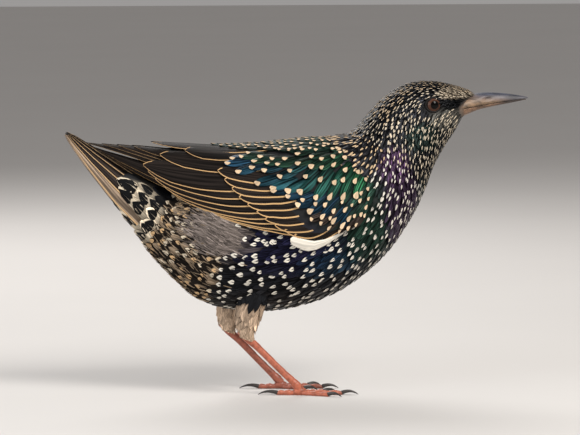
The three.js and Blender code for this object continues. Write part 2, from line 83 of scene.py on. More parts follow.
# From the tail to the root of the bill: a point on the back (x, z), a point on the underside
# (x, z), half the width, and how high the widest part is, as a share of the height.
BODY_ROWS = [
    [-73.2, 92.6, -77, 84, 7, 0.62],
    [-67.9, 92, -75.8, 78.6, 10.2, 0.66],
    [-63.3, 89.5, -72.7, 74.1, 11.2, 0.66],
    [-58.8, 87.2, -69.3, 69.4, 11.8, 0.64],
    [-53, 85.2, -65.6, 64.4, 12.3, 0.6],
    [-47, 85.6, -60.5, 57.5, 12.5, 0.55],
    [-38, 91.5, -51, 47.2, 17, 0.52],
    [-27, 95.5, -40, 38.4, 21, 0.48],
    [-14, 98.6, -24, 34, 23.8, 0.45],
    [-2.7, 101.6, -3.5, 34.8, 25.2, 0.43],
    [8, 103.9, 17, 41.8, 25.4, 0.43],
    [15.5, 105, 34.5, 55.3, 24.2, 0.44],
    [20.6, 105.8, 45.6, 70.2, 22, 0.46],
    [24.2, 108.2, 51.6, 81.8, 19, 0.48],
    [28.6, 113.2, 55.4, 91.5, 16.2, 0.5],
    [33.8, 119, 59.4, 98.8, 13.9, 0.52],
    [39.8, 123.6, 63.6, 105, 12.3, 0.54],
    [47.2, 126.5, 67, 109.6, 11.4, 0.53],
    [55.2, 126.9, 69.6, 112, 10.3, 0.52],
    [62.8, 125.7, 71.8, 113.2, 7.5, 0.52],
    [69.4, 123.7, 74, 114, 5.2, 0.52],
    [74.6, 121.8, 76.4, 114.9, 3.3, 0.52],
]
LAST_ROW = len(BODY_ROWS) - 1
# The thigh's middle line from its top to the ankle, as (x, z) from the ankle with its radius.
THIGH = [[8.6, 26, 6.6], [6.6, 19.5, 6.6], [3.2, 11, 5.9], [1.8, 4.6, 4.6], [1.4, 0.2, 3.4], [2.2, -2.2, 2.5]]
THIGH_OUT = 0.6
THIGH_SPLAY = 0.12
THIGH_TILT = 0.25
# Each leg's y, the ankle and the joint of the toes (x, z), and how far its foot is turned out.
LEGS = {
    "right": {"y": -11, "ankle": (-24.4, 25.4), "joint": (-1.6, 3.6), "turn": -6},
    "left": {"y": 11, "ankle": (-29.2, 26.2), "joint": (-6.4, 3.6), "turn": 8},
}


def grid_of(first, second):
    """Two parameters as grids: every value of the first with every value of the second."""
    return np.meshgrid(first, second, indexing="ij")


def full_turn(count):
    """Angles evenly spread round a full turn."""
    return np.linspace(0, 2 * np.pi, count, endpoint=False)


def carried(rows, at):
    """Rows of a table read at fractional places: a cubic curve through the four rows nearest to
    the place, whose slope at a row is half the step between that row's neighbours."""
    rows = np.asarray(rows, float)
    at = np.asarray(at, float)
    first = np.clip(np.floor(at).astype(int), 0, len(rows) - 2)
    share = (at - first)[..., None]
    before, here, after, beyond = (rows[np.clip(first + k, 0, len(rows) - 1)] for k in (-1, 0, 1, 2))
    bend = 2 * before - 5 * here + 4 * after - beyond + share * (3 * (here - after) + beyond - before)
    return here + 0.5 * share * (after - before + share * bend)


def body_surface(row, angle):
    """The coat's outer surface. Each row is a section whose radius at an angle from the back is
    the angle's cosine and sine, each to the power 2 / SQUARENESS, times the height and half-width."""
    back_x, back_z, under_x, under_z, half, level = np.moveaxis(carried(BODY_ROWS, row), -1, 0)
    up_x, up_z = back_x - under_x, back_z - under_z
    cosine, sine = np.cos(angle), np.sin(angle)
    radius = np.where(cosine > 0, 1 - level, level)
    rise = level + np.sign(cosine) * np.abs(cosine) ** (2 / SQUARENESS) * radius
    across = np.sign(sine) * np.abs(sine) ** (2 / SQUARENESS) * half
    return np.stack([under_x + up_x * rise, across, under_z + up_z * rise], -1)


def thigh_surface(side):
    """The thigh's surface as a function of minus the place along its middle line and the angle
    round it from its front: a circle of the line's radius, tilted a little."""
    leg = LEGS[side]

    def surface(place, angle):
        """The cosine of the angle carries a point forward and its sine out from the middle line."""
        x, z, radius = np.moveaxis(carried(THIGH, -place), -1, 0)
        middle_y = leg["y"] + np.sign(leg["y"]) * (THIGH_OUT + THIGH_SPLAY * place)
        forward = radius * np.cos(angle)
        height = leg["ankle"][1] + z - THIGH_TILT * forward
        return np.stack([leg["ankle"][0] + x + forward, middle_y - radius * np.sin(angle), height], -1)

    return surface


def lifted(surface, u, v, lift, step_u=0.03, step_v=0.03):
    """Points of a surface moved out by the lift along its normal, which is the cross product of
    its two slopes, each taken as the difference of two points a step apart."""
    slope_u = surface(u + step_u, v) - surface(u - step_u, v)
    slope_v = surface(u, v + step_v) - surface(u, v - step_v)
    normal = np.cross(slope_u, slope_v)
    normal /= np.linalg.norm(normal, axis=-1, keepdims=True) + 1e-12
    return surface(u, v) + normal * np.asarray(lift)[..., None]


def quads(rows, columns, copies=1, joined=False, looped=False):
    """The faces of a grid of points, repeated for as many grids as there are copies. Joined is
    for a grid whose last column meets its first, and looped for one whose last row does."""
    row = np.arange(rows if looped else rows - 1)[:, None]
    column = np.arange(columns if joined else columns - 1)[None, :]
    next_row, across = (row + 1) % rows, (column + 1) % columns
    corners = [row * columns + column, row * columns + across]
    corners += [next_row * columns + across, next_row * columns + column]
    one = np.stack(np.broadcast_arrays(*corners), -1).reshape(-1, 4)
    return (one[None] + (np.arange(copies) * rows * columns)[:, None, None]).reshape(-1, 4)


def closed(rings):
    """A closed skin through rings of points: a grid round them, and at each end a fan of
    triangles to the ring's middle. The faces are turned round if the volume comes out negative."""
    count, sides = rings.shape[:2]
    points = np.concatenate([rings.reshape(-1, 3), rings[:1].mean(1), rings[-1:].mean(1)])
    walls = quads(count, sides, joined=True)
    here = np.arange(sides)
    ahead = (here + 1) % sides
    last = (count - 1) * sides
    start = np.stack([np.full(sides, count * sides), ahead, here], -1)
    end = np.stack([np.full(sides, count * sides + 1), last + here, last + ahead], -1)
    fans = np.concatenate([start, end])
    triangles = np.concatenate([walls[:, :3], walls[:, [0, 2, 3]], fans])
    a, b, c = (points[triangles[:, k]] for k in range(3))
    if np.einsum("ij,ij->i", a, np.cross(b, c)).sum() < 0:
        walls, fans = walls[:, ::-1], fans[:, ::-1]
    return points, [walls, fans]


def gathered(parts):
    """Several sets of points and faces as one: the faces of each are moved on by the number of
    points before it."""
    points = np.concatenate([part[0] for part in parts])
    starts = np.cumsum([0] + [len(part[0]) for part in parts[:-1]])
    faces = [block + start for part, start in zip(parts, starts) for block in part[1]]
    return points, faces


def coloured(mesh, name, values):
    """A colour for each point of a mesh."""
    layer = mesh.attributes.new(name, "FLOAT_COLOR", "POINT")
    full = np.concatenate([values, np.ones((len(values), 1))], 1)
    layer.data.foreach_set("color", full.astype(np.float32).ravel())


def piece(name, points, faces, finish, slot, nodes=(), **layers):
    """A mesh object from points in millimetres and blocks of faces. Layers are values at the
    points: two columns make a UV map, and three a colour attribute."""
    mesh = bpy.data.meshes.new(name)
    mesh.vertices.add(len(points))
    mesh.vertices.foreach_set("co", (points * MM).astype(np.float32).ravel())
    loops = np.concatenate([block.ravel() for block in faces])
    sizes = np.concatenate([np.full(len(block), block.shape[1]) for block in faces])
    mesh.loops.add(len(loops))
    mesh.loops.foreach_set("vertex_index", loops.astype(np.int32))
    mesh.polygons.add(len(sizes))
    mesh.polygons.foreach_set("loop_start", (np.cumsum(sizes) - sizes).astype(np.int32))
    mesh.update(calc_edges=True)
    for layer, values in layers.items():
        if values.shape[1] == 2:
            uv = mesh.uv_layers.new(name=layer)
            uv.data.foreach_set("uv", values[loops].astype(np.float32).ravel())
        else:
            coloured(mesh, layer, values)
    mesh.shade_smooth()
    made = bpy.data.objects.new(name, mesh)
    bpy.context.scene.collection.objects.link(made)
    mesh.materials.append(finish)
    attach(made, "root")
    if nodes:
        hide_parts(*nodes)
    return made


def soft_mask(value, low, high):
    """0 below low and 1 above high, with a smooth step between them: three times the square less
    twice the cube of the share of the way."""
    share = np.clip((value - low) / (high - low), 0, 1)
    return share * share * (3 - 2 * share)


def spot_mask(points, x, z, reach_x, reach_z):
    """1 at a place in side view, falling to 0 at a distance of one reach, on an ellipse."""
    away = np.hypot((points[..., 0] - x) / reach_x, (points[..., 2] - z) / reach_z)
    return 1 - soft_mask(away, 0.55, 1.0)


BLACK = np.array([0.0085, 0.009, 0.011])
SOOT = np.array([0.014, 0.011, 0.009])
GREEN_BLACK = np.array([0.010, 0.027, 0.019])
GREEN = np.array([0.014, 0.085, 0.038])
BLUE = np.array([0.012, 0.042, 0.075])
VIOLET = np.array([0.009, 0.009, 0.026])
PURPLE = np.array([0.055, 0.022, 0.062])
GREY_BROWN = np.array([0.26, 0.215, 0.19])
VENT_BROWN = np.array([0.27, 0.20, 0.135])
CREAM = np.array([0.66, 0.56, 0.42])
BUFF = np.array([0.64, 0.42, 0.22])
WHITE = np.array([0.74, 0.69, 0.60])
THIGH_BUFF = np.array([0.40, 0.29, 0.205])
GAPE_FLESH = np.array([0.20, 0.13, 0.09])
CHEEK_GREY = np.array([0.15, 0.145, 0.125])
BROW_BUFF = np.array([0.33, 0.27, 0.20])
# Patches of the coat in side view, as (x, z, reach in x, reach in z).
GREEN_SHOULDER = (18, 66, 20, 14)
VIOLET_FLANK = (-8, 62, 30, 13)
BLUE_BELLY = (8, 55, 16, 7)
PURPLE_BREAST = (40, 76, 11, 22)
PURPLE_NECK = (37, 96, 8, 8)
GREEN_THROAT = (50, 106, 10, 7)
GREY_PATCH = (-34.5, 67, 12, 10)
GAPE = (70, 115.4, 6, 4.6)
CHEEK = (60, 113, 9, 5)
BROW = (66.5, 122.6, 11, 3.0)
LORES = (62.5, 118.4, 6.6, 2.3)


def ground_colour(points):
    """The colour of the coat without its spots, by place: layers of colour, each laid over the
    one before by a mask."""
    x, y, z = np.moveaxis(points, -1, 0)
    colour = np.broadcast_to(BLACK, points.shape).copy()

    def lay(mask, tint):
        """Moves the colour towards a tint by the mask's share."""
        colour[:] = colour + mask[..., None] * (tint - colour)

    lay(0.55 * soft_mask(x, 6, 20) * soft_mask(z, 50, 70) * soft_mask(-z, -92, -80), GREEN_BLACK)
    lay(0.8 * spot_mask(points, *GREEN_SHOULDER), GREEN_BLACK * 1.3)
    lay(0.9 * spot_mask(points, *VIOLET_FLANK), VIOLET)
    lay(0.55 * spot_mask(points, *BLUE_BELLY), BLUE * 0.6)
    lay(0.5 * spot_mask(points, *PURPLE_BREAST) * soft_mask(np.abs(y), 3, 10), PURPLE)
    lay(0.45 * spot_mask(points, *PURPLE_NECK) * soft_mask(np.abs(y), 3, 8), PURPLE)
    lay(0.35 * spot_mask(points, *GREEN_THROAT), GREEN_BLACK * 1.2)
    lay(0.6 * soft_mask(-z, -46, -38) * soft_mask(-x, -20, 0), SOOT)
    lay(spot_mask(points, *GREY_PATCH) * soft_mask(np.abs(y), 6, 11), GREY_BROWN)
    lay(soft_mask(-x - 0.35 * z, 28, 34) * soft_mask(-z - 0.27 * x, -70.5, -67.5), CREAM)
    lay(spot_mask(points, *GAPE), GAPE_FLESH)
    lay(0.5 * spot_mask(points, *CHEEK), CHEEK_GREY)
    lay(0.85 * spot_mask(points, *BROW), BROW_BUFF)
    lay(spot_mask(points, *LORES), BLACK * 0.3)
    return colour


def node_material(name):
    """A new material with nodes, its node tree and its shader."""
    finish = bpy.data.materials.new(name)
    finish.use_nodes = True
    return finish, finish.node_tree, finish.node_tree.nodes["Principled BSDF"]


def mesh_tint(tree):
    """The colours that a mesh carries in its layer named tint."""
    tint = tree.nodes.new("ShaderNodeVertexColor")
    tint.layer_name = "tint"
    return tint.outputs["Color"]


def noise(tree, scale, detail=3, stretch=(1, 1, 1), where="Object"):
    """A noise texture on an object's own coordinates or UV map, stretched along an axis."""
    place = tree.nodes.new("ShaderNodeTexCoord")
    mapping = tree.nodes.new("ShaderNodeMapping")
    mapping.inputs["Scale"].default_value = stretch
    tree.links.new(place.outputs[where], mapping.inputs["Vector"])
    texture = tree.nodes.new("ShaderNodeTexNoise")
    texture.inputs["Scale"].default_value = scale
    texture.inputs["Detail"].default_value = detail
    tree.links.new(mapping.outputs["Vector"], texture.inputs["Vector"])
    return texture.outputs["Fac"]


def ranged(tree, source, low, high):
    """A value between 0 and 1 spread over a new range."""
    node = tree.nodes.new("ShaderNodeMapRange")
    node.inputs["To Min"].default_value = low
    node.inputs["To Max"].default_value = high
    tree.links.new(source, node.inputs["Value"])
    return node.outputs["Result"]


def times(tree, colour, factor):
    """A colour made lighter or darker by a factor."""
    node = tree.nodes.new("ShaderNodeVectorMath")
    node.operation = "SCALE"
    tree.links.new(colour, node.inputs[0])
    tree.links.new(factor, node.inputs["Scale"])
    return node.outputs["Vector"]


def bumped(tree, shader, height, depth):
    """Relief of a depth in millimetres on a shader."""
    node = tree.nodes.new("ShaderNodeBump")
    node.inputs["Distance"].default_value = depth * MM
    node.inputs["Strength"].default_value = 0.6
    tree.links.new(height, node.inputs["Height"])
    tree.links.new(node.outputs["Normal"], shader.inputs["Normal"])


def skin_material():
    """Skin and the down on it: the tint of the mesh, dulled and mottled."""
    finish, tree, shader = node_material("skin and down")
    mottle = noise(tree, 900, 4)
    mottled = times(tree, mesh_tint(tree), ranged(tree, mottle, 0.4, 1.1))
    tree.links.new(mottled, shader.inputs["Base Color"])
    shader.inputs["Roughness"].default_value = 0.9
    bumped(tree, shader, mottle, 0.2)
    return finish


row_grid, angle_grid = grid_of(np.linspace(0, LAST_ROW, 150), full_turn(96))
shells = [closed(lifted(body_surface, row_grid, angle_grid, -SKIN_DEPTH))]
place_grid, round_grid = grid_of(np.linspace(1 - len(THIGH), 0, 24), full_turn(32))
for side in LEGS:
    shells.append(closed(lifted(thigh_surface(side), place_grid, round_grid, -THIGH_SKIN_DEPTH)))
skin_points, skin_faces = gathered(shells)
skin = piece("skin", skin_points, skin_faces, skin_material(), "plumage", FLESH)
fused = skin.modifiers.new("one skin", "REMESH")
fused.mode = "VOXEL"
fused.voxel_size = VOXEL * MM
evaluated = skin.evaluated_get(bpy.context.evaluated_depsgraph_get())
one_skin = bpy.data.meshes.new_from_object(evaluated)
skin.modifiers.clear()
skin.data = one_skin
one_skin.shade_smooth()
skin_places = np.empty(len(one_skin.vertices) * 3, np.float32)
one_skin.vertices.foreach_get("co", skin_places)
skin_places = skin_places.reshape(-1, 3) / MM
skin_tint = ground_colour(skin_places)
low_leg = soft_mask(-skin_places[:, 2], -38, -34)[:, None]
coloured(one_skin, "tint", skin_tint + low_leg * (THIGH_BUFF * 0.7 - skin_tint))


# The contour feathers of head, neck, trunk and under the tail. Each grows out of the skin, lies
# back along the body over the roots of the next, and ends in a pale spot, which is a mesh of its own.
FLANK_ANGLE = math.radians(100)
BODY_STEPS = (0.03, 0.03)
# By row of the body: how far apart the feathers stand.
FEATHER_GAP = [
    6.6, 6.6, 6.4, 6.2, 5.6, 4.3, 4.0, 4.0, 4.0, 3.9, 3.7,
    3.2, 2.6, 2.1, 1.85, 1.7, 1.55, 1.45, 1.3, 1.2, 1.1, 1.05,
]
# By share of a feather's length: its half-width, and how its tint changes from root to tip.
VANE_SHARES = [0, 0.22, 0.5, 0.74, 0.9, 1.0]
VANE_WIDTHS = [0.55, 0.85, 1.0, 0.9, 0.6, 0.12]
VANE_SHADES = [0.55, 0.7, 0.9, 1.05, 1.15, 1.2]
VANE_LANES = 5
# The power with which a vane rises from root to tip, how far its sides curl down for its width,
# and how far a spot stands off its vane.
VANE_RISE = 0.8
VANE_CURL = 0.16
SPOT_RISE = 0.07
# Tables of (rows of the body, values): length and half-width as shares of the gap, the angle in
# degrees by which the feathers of the sides turn down, and the lift of root and tip.
LENGTH_BY_ROW = ([0, 5, 7, 13, 16, 21], [2.9, 2.5, 2.5, 2.8, 2.8, 2.5])
HALF_BY_ROW = ([0, 5, 5.4, 13, 16, 21], [0.62, 0.62, 0.5, 0.46, 0.42, 0.4])
TURN_BY_ROW = ([0, 5, 8, 11, 14, 18, 21], [0, 4, 8, 12, 14, 6, 0])
ROOT_LIFT = ([0, 15, 21], [-1, -1, -0.6])
TIP_LIFT = ([0, 5, 12, 16, 21], [0.2, 0.3, 0.3, 0.12, 0.0])
# Where no contour feather grows: above a line (x, z) under the wings, past a row that depends on
# the degrees from the back where the bill begins, over the root of the tail and round the eye.
WING_LINE = ([-46, -30, -14, 4, 16, 24], [84, 80, 75, 70, 76, 84])
WING_REACH = (-46, 19)
BILL_LINE = ([0, 50, 75, 95, 120, 180], [20.6, 20.6, 19.9, 18.9, 17.8, 17.2])
EYE = {"x": 53.9, "z": 117.8, "radius": 3.5}
# The tail's root reaches to a row and, in degrees, from the back. A feather's root and tip stay
# clear of the eye's middle between two degrees from the back.
TAIL_ROOT_TO = (4.6, 62)
EYE_CLEARANCE = (3.6, 3.5)
EYE_SIDES = (30, 150)
# The last rows of the feathers under the tail and of the vent ahead of them.
UNDER_TAIL_TO = 5.2
VENT_TO = 7.6
# The share of the way from a feather's root to its tip at which its colour is read, and how the
# feathers of the soft grey patch differ in half-width and length.
SEEN_SHARE = 0.65
GREY_SIZES = (0.55, 1.3)
# The first rows of breast and neck, whose feathers are pieces of their own.
BREAST_FROM, NECK_FROM = 12, 15
# The side of one feather's patch of the shared UV map.
PATCH_SIZE = 0.003
draws = np.random.default_rng(17)


def read(table, at):
    """A table of (places, values) read at any place, in straight steps between its values."""
    return np.interp(at, *table)


def gap_at(row):
    """How far apart the feathers stand at a row of the body."""
    return np.interp(row, np.arange(len(FEATHER_GAP)), FEATHER_GAP)


def rooted_on_body(phase):
    """Roots of the coat as (row, angle): rows of feathers a gap apart along the flank, evenly
    spread round the body, each row half a gap out of step with the one before. The phase moves
    all rows by a share of a gap."""
    fine = np.linspace(0, LAST_ROW, 800)
    line = body_surface(fine, np.full(fine.shape, FLANK_ANGLE))
    steps = np.linalg.norm(np.diff(line, axis=0), axis=1)
    count = np.concatenate([[0], np.cumsum(steps / gap_at(fine)[1:])])
    turns = np.linspace(-np.pi, np.pi, 361)
    roots = []
    for k, row in enumerate(np.interp(np.arange(phase, count[-1] + phase + 1), count, fine)):
        ring = body_surface(np.full(turns.shape, row), turns)
        girth = np.concatenate([[0], np.cumsum(np.linalg.norm(np.diff(ring, axis=0), axis=1))])
        number = max(int(round(girth[-1] / gap_at(row))), 6)
        places = (np.arange(number) + 0.5 * (k % 2) + 0.25 * phase) / number * girth[-1]
        roots.append(np.stack([np.full(number, row), np.interp(places, girth, turns)], 1))
    return np.concatenate(roots)


def surface_scale(surface, places, steps):
    """Millimetres for each unit of a surface's two parameters, at given places."""
    u, v = places[:, 0], places[:, 1]
    unit_u = np.linalg.norm(surface(u + steps[0], v) - surface(u - steps[0], v), axis=-1) / (2 * steps[0])
    unit_v = np.linalg.norm(surface(u, v + steps[1]) - surface(u, v - steps[1]), axis=-1) / (2 * steps[1])
    return np.maximum(unit_u, 1e-3), np.maximum(unit_v, 1e-3)


def each(values):
    """One value for each feather, shaped to go with the grids of all of them."""
    return np.asarray(values)[:, None, None]


def spread_out(surface, feathers, a, side, steps):
    """Points of feathers on a surface. From its root each runs on in its flow, an angle turned
    from straight back, by the share a of its length, and reaches to its side. It rises from its
    low lift to its high one with a power of the share, less a curl with the square of the side."""
    unit_u, unit_v = surface_scale(surface, feathers["roots"], steps)
    cosine, sine = each(np.cos(feathers["flow"])), each(np.sin(feathers["flow"]))
    run = a * each(feathers["length"])
    u = each(feathers["roots"][:, 0]) + (-cosine * run + sine * side) / each(unit_u)
    v = each(feathers["roots"][:, 1]) + (sine * run + cosine * side) / each(unit_v)
    return u, v, each(feathers["low"]) + each(feathers["high"] - feathers["low"]) * a**VANE_RISE


def laid(surface, feathers, shares, widths, lanes, steps=BODY_STEPS):
    """Grids of whole feathers on a surface, whose width follows the shares of their length."""
    a = np.asarray(shares)[None, :, None]
    across = np.linspace(-1, 1, lanes)[None, None, :]
    side = across * each(feathers["half"]) * np.asarray(widths)[None, :, None]
    u, v, lift = spread_out(surface, feathers, a, side, steps)
    return lifted(surface, u, v, lift - VANE_CURL * each(feathers["half"]) * across**2, *steps)


# By share of a spot's length: its outer edge, and the inner edge of its two lobes.
MARK_SHARES = [0, 0.18, 0.42, 0.72, 1.0]
MARK_OUTER = [0.55, 0.92, 1.0, 0.62, 0.08]
MARK_NOTCH = [0.95, 0.62, 0.2, 0.0, 0.0]


def marks_on(surface, feathers, start, size, notch, outline=MARK_OUTER, steps=BODY_STEPS):
    """The spot at the tip of each feather: two lobes towards the root that meet in a point at the
    tip. Start is the share of the feather where the lobes begin, and size the spot's half-width."""
    outer = size[:, None] * np.asarray(outline)[None]
    inner = outer * notch[:, None] * np.asarray(MARK_NOTCH)[None]
    lobes = np.stack([-outer, -inner, inner, outer], -1)
    a = (start[:, None] + (1.0 - start[:, None]) * np.asarray(MARK_SHARES)[None])[:, :, None]
    u, v, lift = spread_out(surface, feathers, a, lobes, steps)
    across = lobes / each(feathers["half"])
    lift = lift - VANE_CURL * each(feathers["half"]) * across**2 + SPOT_RISE
    return lifted(surface, u, v, lift, *steps)


def mark_faces(count):
    """The faces of two lobes each, with the notch between them left out."""
    full = quads(len(MARK_SHARES), 4, count).reshape(count, -1, 3, 4)
    return full[:, :, [0, 2]].reshape(-1, 4)


def sheets(grids):
    """Grids of points as the points and faces of one piece."""
    return grids.reshape(-1, 3), [quads(*grids.shape[1:3], copies=len(grids))]


def unwrapped(roots):
    """The places of roots (row, angle) on the body's own unwrap."""
    return np.stack([roots[:, 0] / LAST_ROW, np.mod(roots[:, 1] / (2 * np.pi) + 0.25, 1)], -1)


def small_patches(places, grids):
    """UV of a small patch for each feather at its root's place on the surface's own unwrap."""
    shares = [np.linspace(0, 1, number) for number in grids.shape[1:3]]
    patch = np.stack(grid_of(*shares), -1) * PATCH_SIZE
    corners = np.clip(places, 0.001, 0.999 - PATCH_SIZE)
    return (corners[:, None, None, :] + patch[None]).reshape(-1, 2)


def feather_layers(grids, shares, patches, tint, numbers=None, shades=1.0):
    """The layers of a piece made of grids of feathers: a UV map across and along each feather,
    moved on by its number so that no two look alike, its patches of the shared map, and one tint
    for each feather, shaded along its length."""
    count, rows, lanes = grids.shape[:3]
    numbers = np.arange(count) if numbers is None else numbers
    grid_a, grid_b = grid_of(np.asarray(shares), np.linspace(0, 1, lanes))
    own = np.stack([grid_b, grid_a], -1)[None] + (numbers * 0.37 % 7)[:, None, None, None]
    shading = np.tile(np.repeat(np.ones(rows) * shades, lanes), count)[:, None]
    tints = np.repeat(np.broadcast_to(tint, (count, 3)), rows * lanes, axis=0) * shading
    return {"UVMap": own.reshape(-1, 2), "OFBake": patches, "tint": tints}


def shaded(tree, stops, source):
    """A colour ramp through stops of (place, colour)."""
    ramp = tree.nodes.new("ShaderNodeValToRGB")
    elements = ramp.color_ramp.elements
    while len(elements) < len(stops):
        elements.new(0.5)
    for element, (place, colour) in zip(elements, stops):
        element.position = place
        element.color = (*colour, 1)
    tree.links.new(source, ramp.inputs["Fac"])
    return ramp.outputs["Color"]


def sharpened(tree, source, low, high):
    """A value stretched so that it is 0 at low and 1 at high."""
    return shaded(tree, [(low, (0, 0, 0)), (high, (1, 1, 1))], source)


def plumage_material(name, metal, rough, barbs=9, depth=0.05, contrast=(0.1, 1.9), shine=0.15):
    """Feather: the tint of the mesh, streaked along its barbs in its own UV map. The contrast is
    the tint's darkest and lightest share, and the shine is the specular level."""
    finish, tree, shader = node_material(name)
    streak = noise(tree, barbs, 3, (1, 0.12, 1), "UV")
    streaks = ranged(tree, sharpened(tree, streak, 0.4, 0.62), *contrast)
    tree.links.new(times(tree, mesh_tint(tree), streaks), shader.inputs["Base Color"])
    tree.links.new(ranged(tree, streak, rough + 0.14, rough - 0.12), shader.inputs["Roughness"])
    shader.inputs["Metallic"].default_value = metal
    shader.inputs["Specular IOR Level"].default_value = shine
    bumped(tree, shader, streak, depth)
    return finish


spotted_roots, plain_roots = rooted_on_body(0.5), rooted_on_body(1.0)
roots = np.concatenate([spotted_roots, plain_roots])
may_be_spotted = np.arange(len(roots)) < len(spotted_roots)
roots = roots + draws.normal(0, 0.05, roots.shape) * [1.0, 0.5]
root_at = body_surface(roots[:, 0], roots[:, 1])
row_number = roots[:, 0]
angle = np.mod(roots[:, 1] + np.pi, 2 * np.pi) - np.pi
turned = np.abs(np.degrees(angle))
length = gap_at(row_number) * read(LENGTH_BY_ROW, row_number)
length *= draws.uniform(0.9, 1.1, len(roots))
in_wing_reach = (root_at[:, 0] > WING_REACH[0]) & (root_at[:, 0] < WING_REACH[1])
under_wing = in_wing_reach & (root_at[:, 2] > read(WING_LINE, root_at[:, 0]))
over_tail = (row_number < TAIL_ROOT_TO[0]) & (turned < TAIL_ROOT_TO[1])
from_eye = np.hypot(root_at[:, 0] - EYE["x"], root_at[:, 2] - EYE["z"])
tip_from_eye = np.hypot(root_at[:, 0] - 0.8 * length - EYE["x"], root_at[:, 2] - EYE["z"])
clear_of_eye = (from_eye > EYE_CLEARANCE[0]) & (tip_from_eye > EYE_CLEARANCE[1])
clear_of_eye |= (turned < EYE_SIDES[0]) | (turned > EYE_SIDES[1])
keep = ~under_wing & ~over_tail & clear_of_eye & (row_number < read(BILL_LINE, turned))
keep &= may_be_spotted | (row_number > UNDER_TAIL_TO)
roots, root_at, row_number, angle, turned, length, may_be_spotted = (
    values[keep] for values in (roots, root_at, row_number, angle, turned, length, may_be_spotted)
)
count = len(roots)
flow = np.sign(angle) * np.radians(read(TURN_BY_ROW, row_number) * np.sin(np.radians(turned)))
flow = flow + draws.normal(0, 0.07, count)
tip_at = body_surface(row_number - 0.8 * length / 10, roots[:, 1])
seen_at = (1 - SEEN_SHARE) * root_at + SEEN_SHARE * tip_at
grey_patch = (spot_mask(seen_at, *GREY_PATCH) > 0.5) & (turned > 60)
half = gap_at(row_number) * read(HALF_BY_ROW, row_number)
half[grey_patch] *= GREY_SIZES[0]
length[grey_patch] *= GREY_SIZES[1]
tip_lift = read(TIP_LIFT, row_number) + draws.uniform(-0.12, 0.12, count)
ground = ground_colour(seen_at)
ground = ground * np.exp(draws.normal(0, 1, (count, 1)) * np.where(grey_patch, 0.12, 0.3)[:, None])
under_tail = row_number < UNDER_TAIL_TO
vent = (row_number < VENT_TO) & ~under_tail
brown_vent = vent & ~grey_patch
sooty = draws.random((np.count_nonzero(brown_vent), 1)) < 0.75
ground[brown_vent] = np.where(sooty, SOOT, VENT_BROWN)
row_length = surface_scale(body_surface, roots, (0.05, 0.03))[0]
length = np.minimum(length, (row_number + 0.1) * row_length)
coat = {
    "roots": roots, "flow": flow, "length": length, "half": half,
    "low": read(ROOT_LIFT, row_number), "high": tip_lift,
}
vanes = laid(body_surface, coat, VANE_SHARES, VANE_WIDTHS, VANE_LANES)
dark_vane = plumage_material("glossy contour feather", 0.7, 0.4)
soft_vane = plumage_material("soft pale contour feather", 0.0, 0.85, 12, 0.05, (0.6, 1.3), 0.05)
pale_vane = under_tail | vent | grey_patch
for name, chosen, finish in (
    ("coat_body", ~pale_vane & (row_number < BREAST_FROM), dark_vane),
    ("coat_breast", ~pale_vane & (row_number >= BREAST_FROM) & (row_number < NECK_FROM), dark_vane),
    ("coat_head", ~pale_vane & (row_number >= NECK_FROM), dark_vane),
    ("coat_rear", pale_vane, soft_vane),
):
    some = np.flatnonzero(chosen)
    patches = small_patches(unwrapped(roots[some]), vanes)
    layers = feather_layers(vanes[some], VANE_SHARES, patches, ground[some], some, VANE_SHADES)
    piece(name, *sheets(vanes[some]), finish, "plumage", FLESH, **layers)

# Over the soft grey-brown patch of the flank, and among the feathers of the vent, lie loose downy
# barbs, each a narrow strip.
DOWN_COUNT = {"flank": 900, "vent": 900}
DOWN_LANES = 3
down_sets = {"flank": roots[grey_patch], "vent": roots[brown_vent & (turned > 45)]}
down_roots = np.concatenate(
    [down_sets[name][draws.integers(0, len(down_sets[name]), number)] for name, number in DOWN_COUNT.items()]
)
down_count = len(down_roots)
in_vent = np.arange(down_count)[:, None] >= DOWN_COUNT["flank"]
down_roots = down_roots + draws.normal(0, 1, down_roots.shape) * [0.28, 0.06] - [0.5, 0]
down_run = draws.uniform(4.5, 8.5, down_count) * np.where(in_vent[:, 0], 0.6, 1)
pale_down = np.where(in_vent, VENT_BROWN, GREY_BROWN * 0.9)
dark_down = np.where(in_vent, SOOT, GREY_BROWN * 0.5)
down_colour = np.where(draws.random((down_count, 1)) < 0.5, pale_down, dark_down)
down_colour = down_colour * np.exp(draws.normal(0, 0.3, (down_count, 1)))
downy = {
    "roots": down_roots,
    "flow": draws.normal(0, 0.2, down_count) - 0.15 * np.sign(down_roots[:, 1]),
    "length": np.minimum(down_run, down_roots[:, 0] * 8),
    "half": draws.uniform(0.13, 0.26, down_count),
    "low": np.full(down_count, -0.1),
    "high": draws.uniform(0.25, 0.75, down_count),
}
down = laid(body_surface, downy, VANE_SHARES, VANE_WIDTHS, DOWN_LANES)
layers = feather_layers(down, VANE_SHARES, small_patches(unwrapped(down_roots), down), down_colour)
piece("coat_down", *sheets(down), soft_vane, "plumage", FLESH, **layers)

# The spots follow the place too: white hearts on the belly, white drops on the breast, fine
# streaks on head and neck, and black arrowheads on the cream feathers under the tail.
SPOT_ROWS = [0, 4.9, 5.3, 7, 10, 12, 13, 14, 16, 18, 21]
SPOT_LENGTH = (SPOT_ROWS, [9.5, 9, 3, 2.6, 2.3, 1.75, 1.7, 1.8, 1.85, 1.6, 1.1])
SPOT_HALF = (SPOT_ROWS, [3.1, 2.8, 1.35, 1.1, 0.85, 0.5, 0.34, 0.25, 0.2, 0.175, 0.15])
# The rows whose spots are hearts, and the rows where the spots near the back are narrower.
HEART_ROWS = (5.3, 11.6)
NARROW_ROWS = (11.4, 14.5)
# White turns to cream at a row, and to buff within some degrees of the back.
CREAM_FROM = 13.5
BUFF_WITHIN = 70
